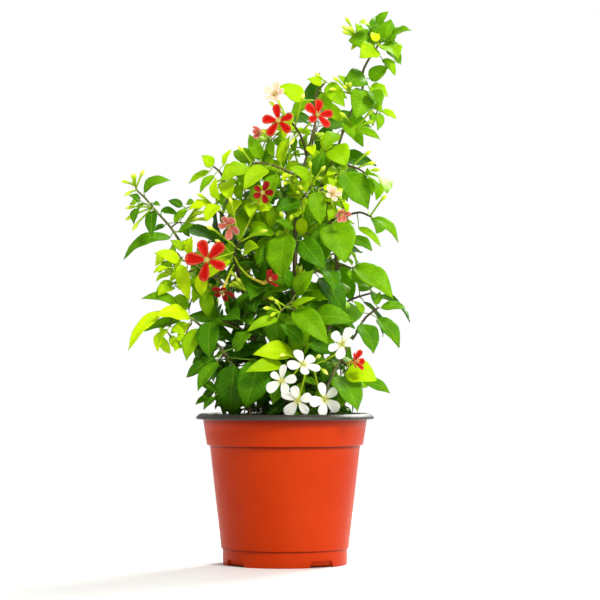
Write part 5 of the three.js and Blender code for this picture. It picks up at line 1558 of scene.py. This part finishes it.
def ring(radius, height, sides):
    """Points round the upright axis."""
    angles = round_angles(sides)
    return np.column_stack([radius * np.cos(angles), radius * np.sin(angles), np.full(sides, height)])


def steps_from(radius, height, *steps):
    """Places of a profile, each given as a step in radius and height from one point."""
    return [(radius + across, height + up) for across, up in steps]


LIP_PLACES = 10  # the places of the outside that lie on the lip


def pot_outside():
    """Radius and height up the outside of the pot's wall, from the axis to the top of its lip."""
    places = [(0, 0), (FOOT_RADIUS - 3, 0), (FOOT_RADIUS - 0.6, 0), (FOOT_RADIUS - 0.15, 0.25)]
    places += [(FOOT_RADIUS, 0.8), (FOOT_RADIUS + 0.15, 6)]
    places += steps_from(FOOT_RADIUS, FOOT_HEIGHT, (0.2, -1), (0.25, -0.2))
    places += steps_from(BODY_RADIUS_LOW, FOOT_HEIGHT, (-0.5, 0.1), (-0.05, 0.5), (0.05, 1.2))
    low, rise = FOOT_HEIGHT + 1.2, 85.4
    spread = BODY_RADIUS_HIGH - BODY_RADIUS_LOW
    places += [(BODY_RADIUS_LOW + spread * k / 10, low + rise * k / 10) for k in range(1, 10)]
    places += steps_from(BODY_RADIUS_HIGH, BAND_BOTTOM, (0, -0.5), (0.15, -0.1))
    places += steps_from(BAND_RADIUS_LOW, BAND_BOTTOM, (-1, 0), (-0.25, 0.35), (0, 1.1), (1.4, 10))
    lip = POT_HEIGHT - LIP_HEIGHT
    places += steps_from(BAND_RADIUS_HIGH, lip, (-0.05, -0.6), (0.5, 0))
    places += steps_from(LIP_RADIUS, lip, (-1.2, 0), (-0.35, 0.25), (0, 1), (-0.25, 1.8), (-0.9, 2.6),
                         (-1.7, 3.4), (-2.8, 4.2), (-3.9, 4.6))
    return places + steps_from(BAND_RADIUS_HIGH, lip, (0.8, 4.8))


def pot_inside():
    """Radius and height down the inside, from the top of the lip to the axis."""
    lip = POT_HEIGHT - LIP_HEIGHT
    w = POT_WALL
    return [
        (BAND_RADIUS_HIGH + 0.2, lip + 4.5), (BAND_RADIUS_HIGH - w + 0.3, lip + 3.6),
        (BAND_RADIUS_HIGH - w, POT_HEIGHT - 3), (BAND_RADIUS_HIGH - w - 0.1, lip),
        (BAND_RADIUS_LOW - w, BAND_BOTTOM + 1.6), (BODY_RADIUS_HIGH - w, BAND_BOTTOM - 1),
        (BODY_RADIUS_LOW - w, FOOT_HEIGHT + 0.4), (FOOT_RADIUS - w, FOOT_HEIGHT - 0.6),
        (FOOT_RADIUS - w, w), (0, w),
    ]


def build_pot():
    """The pot turned on its axis, black inside and on its lip, with its drain notches cut out."""
    outside = pot_outside()
    profile = outside + pot_inside()
    rings = [ring(radius, height, POT_SIDES) for radius, height in profile[1:-1]]
    red_bands = len(outside) - LIP_PLACES
    worn = ["pot_shell"] * red_bands * POT_SIDES
    worn += ["pot_lining"] * (len(rings) - 1 - red_bands) * POT_SIDES
    worn += ["pot_shell", "pot_lining"] * POT_SIDES
    form = Form("pot_shell", "pot_lining")
    form.add(*ringed(rings, (0, 0, 0), (0, 0, profile[-1][1])), worn)
    cut_notches(form.piece("pot_wall", "pot_plastic", "pot"))


def cut_notches(pot):
    """Cuts the four arched drain notches out of the foot."""
    half = NOTCH_WIDTH / 2
    arch = [(-half, -1), (half, -1), (half - 0.3, 0.4), (half - 1.5, NOTCH_HEIGHT - 2),
            (half - 2.4, NOTCH_HEIGHT - 0.7), (half - 4, NOTCH_HEIGHT)]
    arch += [(-x, z) for x, z in reversed(arch[2:])]
    count = len(arch)
    faces = [(k, (k + 1) % count, count + (k + 1) % count, count + k) for k in range(count)]
    faces += [tuple(reversed(range(count))), tuple(range(count, 2 * count))]
    for degrees in NOTCH_ANGLES:
        turn = math.radians(degrees)
        across = vec(math.cos(turn), math.sin(turn), 0)
        out = vec(math.sin(turn), -math.cos(turn), 0)
        near = [across * x + out * NOTCH_INNER_RADIUS + vec(0, 0, z) for x, z in arch]
        plug = new_object("notch", near + [p + out * NOTCH_DEPTH for p in near], faces, ["pot_shell"])
        cut = pot.modifiers.new("notch", "BOOLEAN")
        cut.operation = "DIFFERENCE"
        cut.solver = "EXACT"
        cut.object = plug
        with bpy.context.temp_override(object=pot, active_object=pot):
            bpy.ops.object.modifier_apply(modifier="notch")
        bpy.data.objects.remove(plug)


def build_foot_lining():
    """The thin inner wall of the foot that shows through the drain notches."""
    outer, inner = FOOT_RADIUS - POT_WALL - 0.1, FOOT_RADIUS - POT_WALL - 0.3
    low, high = POT_WALL + 0.1, FOOT_HEIGHT - 1.5
    profile = [(inner, low), (outer, low), (outer, (low + high) / 2), (outer, high), (inner, high)]
    faces = []
    for i in range(len(profile)):
        here, above = i * INNER_SIDES, (i + 1) % len(profile) * INNER_SIDES
        for k in range(INNER_SIDES):
            after = (k + 1) % INNER_SIDES
            faces.append((here + k, here + after, above + after, above + k))
    form = Form("pot_shell")
    form.add(np.concatenate([ring(*place, INNER_SIDES) for place in profile]), faces, "pot_shell")
    form.piece("pot_foot_lining", "pot_plastic")


def soil_height(x, y):
    """The height of the soil at a place, uneven in broad lumps and in fine grit."""
    lumps = np.sin(0.21 * x + 1.3) * np.sin(0.17 * y + 0.4) + 0.6 * np.sin(0.37 * x - 0.29 * y)
    grit = np.sin(1.1 * x + 0.4 * y) * np.sin(0.9 * y - 0.5 * x) + 0.5 * np.sin(2.3 * x) * np.sin(2.1 * y)
    return SOIL_TOP + SOIL_RELIEF * lumps + 0.45 * grit


def build_soil():
    """The bed of soil, rough on top, with crumbs lying on it."""
    form = Form("soil")
    inset = POT_WALL + GAP + 0.2
    floor = POT_WALL + GAP
    wall = [
        (FOOT_RADIUS - inset, floor), (FOOT_RADIUS - inset - 0.2, FOOT_HEIGHT - 1),
        (BODY_RADIUS_LOW - inset - 0.2, FOOT_HEIGHT + 0.8), (BODY_RADIUS_HIGH - inset - 0.3, BAND_BOTTOM - 2),
        (BAND_RADIUS_LOW - inset - 1, BAND_BOTTOM + 3.4), (SOIL_RADIUS, SOIL_TOP - 2.5),
    ]
    rings = [ring(*place, INNER_SIDES) for place in wall]
    for share in np.linspace(0.985, 0.02, SOIL_RINGS):
        x, y = (ring(1, 0, INNER_SIDES)[:, :2] * SOIL_RADIUS * share).T
        rings.append(np.column_stack([x, y, soil_height(x, y)]))
    top = (0, 0, float(soil_height(0, 0)))
    form.add(*ringed(rings, (0, 0, floor), top), "soil", tone=(0.4, 0.5, 0))
    add_crumbs(form)
    form.piece("soil_bed", "soil", "soil")


def add_crumbs(form):
    """Small round lumps that lie on the soil."""
    crumbs = Draws(CRUMB_SEED)
    for _ in range(CRUMBS):
        angle, share = crumbs.share() * 2 * math.pi, math.sqrt(crumbs.share()) * 0.96
        x, y = SOIL_RADIUS * share * math.cos(angle), SOIL_RADIUS * share * math.sin(angle)
        size = 0.7 + 1.7 * crumbs.share() ** 2
        spot = vec(x, y, float(soil_height(x, y)) + 0.25 * size)
        lean = unit(vec(crumbs.spread(1), crumbs.spread(1), 0.6 + crumbs.share()))
        line = np.array([spot + lean * size * h for h in (-0.75, -0.4, 0.1, 0.5, 0.75)])
        bulk = np.array([0.25, 0.8, 1, 0.75, 0.25]) * size
        add_tube(form, "soil", line, bulk, 6, (crumbs.share(), crumbs.share(), 0), [0.25] * 5)


# The finished plant


def dress_plant():
    """Builds all pieces. Twigs on a shoot belong to its piece, and those on wood to one of their own."""
    build_pot()
    build_foot_lining()
    build_soil()
    for name, limbs in WOOD.items():
        build_wood(name, limbs)
    side_twigs = {}
    for twig in fill_bush():
        if twig.owner in SHOOTS:
            SHOOTS[twig.owner].twigs.append(twig)
        else:
            side_twigs.setdefault(twig.owner, []).append(twig)
    for name, shoot in SHOOTS.items():
        build_shoot(name, shoot)
    for owner, twigs in side_twigs.items():
        form = Form("leaf", "green_stem", "bud")
        for twig in twigs:
            add_twig(form, twig)
        form.piece(owner + "_side_twigs", "leaf")
    for bloom in BLOOM_FRAMES.values():
        build_bloom(bloom)


# Floor, light and camera

FLOOR_HALF = 6000
FLOOR_FADE = (350, 1100)  # where the floor begins to fade to white, and where it is white
LIGHT_TARGET = (10, 0, 230)
CAMERA_PLACE = (12.7, -2120, 166.5)
CAMERA_TARGET = (12.7, 0, 223.3)
WHITE = (1, 1, 1)


def floor_finish(tree):
    """A pale floor that fades to white away from the pot."""
    place = tree.place()
    cloud = tree.noise(3.0, 4, 0.5, place)
    colour = tree.ramp(cloud, (0.3, (0.74, 0.735, 0.72)), (0.7, (0.79, 0.785, 0.775)))
    grain = tree.bump(tree.noise(900.0, 2, 0.5, place), 0.05, 0.3)
    near = tree.wire("BsdfPrincipled", {"Base Color": colour, "Roughness": 0.6, "Normal": grain})
    far = tree.wire("Emission", {"Color": WHITE, "Strength": 1.0})
    away = tree.wire("VectorMath", {0: place}, "Value", operation="LENGTH")
    white = tree.between(away, FLOOR_FADE[0] * MM, FLOOR_FADE[1] * MM)
    tree.add("OutputMaterial", {"Surface": tree.wire("MixShader", {0: white, 1: near, 2: far})})


def build_floor():
    FINISHES["floor"] = new_material("floor_pale", floor_finish)
    corners = [(x * FLOOR_HALF, y * FLOOR_HALF, 0) for x, y in ((-1, -1), (1, -1), (1, 1), (-1, 1))]
    floor = new_object("floor", corners, [(0, 1, 2, 3)], ["floor"])


def aim(thing, place, target):
    """Sets a light or the camera at a place, looking at a target, both in millimetres."""
    thing.location = Vector(place) * MM
    thing.rotation_euler = (Vector(target) - Vector(place)).to_track_quat("-Z", "Y").to_euler()


def add_light(name, place, size, watts, colour):
    """A round soft light that shines on the plant."""
    lamp = bpy.data.lights.new(name, "AREA")
    lamp.shape = "DISK"
    lamp.size = size * MM
    lamp.energy = watts
    lamp.color = colour
    aim(show(bpy.data.objects.new(name, lamp)), place, LIGHT_TARGET)


def build_world():
    """A white surround to look at, and a softer one to light with."""
    world = bpy.data.worlds.new("studio")
    world.use_nodes = True
    tree = Tree(world.node_tree)
    seen = tree.wire("Background", {"Color": WHITE, "Strength": 1.0})
    lit = tree.wire("Background", {"Color": WHITE, "Strength": 0.62})
    straight = tree.wire("LightPath", output="Is Camera Ray")
    tree.add("OutputWorld", {"Surface": tree.wire("MixShader", {0: straight, 1: lit, 2: seen})})
    bpy.context.scene.world = world


def build_camera():
    camera = bpy.data.cameras.new("camera")
    camera.lens = 150
    camera.sensor_width = 36
    camera.clip_end = 50
    eye = show(bpy.data.objects.new("camera", camera))
    aim(eye, CAMERA_PLACE, CAMERA_TARGET)
    bpy.context.scene.camera = eye


dress_plant()
build_floor()
add_light("key", (700, -1100, 1300), size=450, watts=30, colour=(1, 0.98, 0.94))
add_light("back", (500, 900, 1100), size=700, watts=40, colour=(1, 1, 0.95))
build_world()
build_camera()
bpy.context.scene.view_settings.view_transform = "Standard"
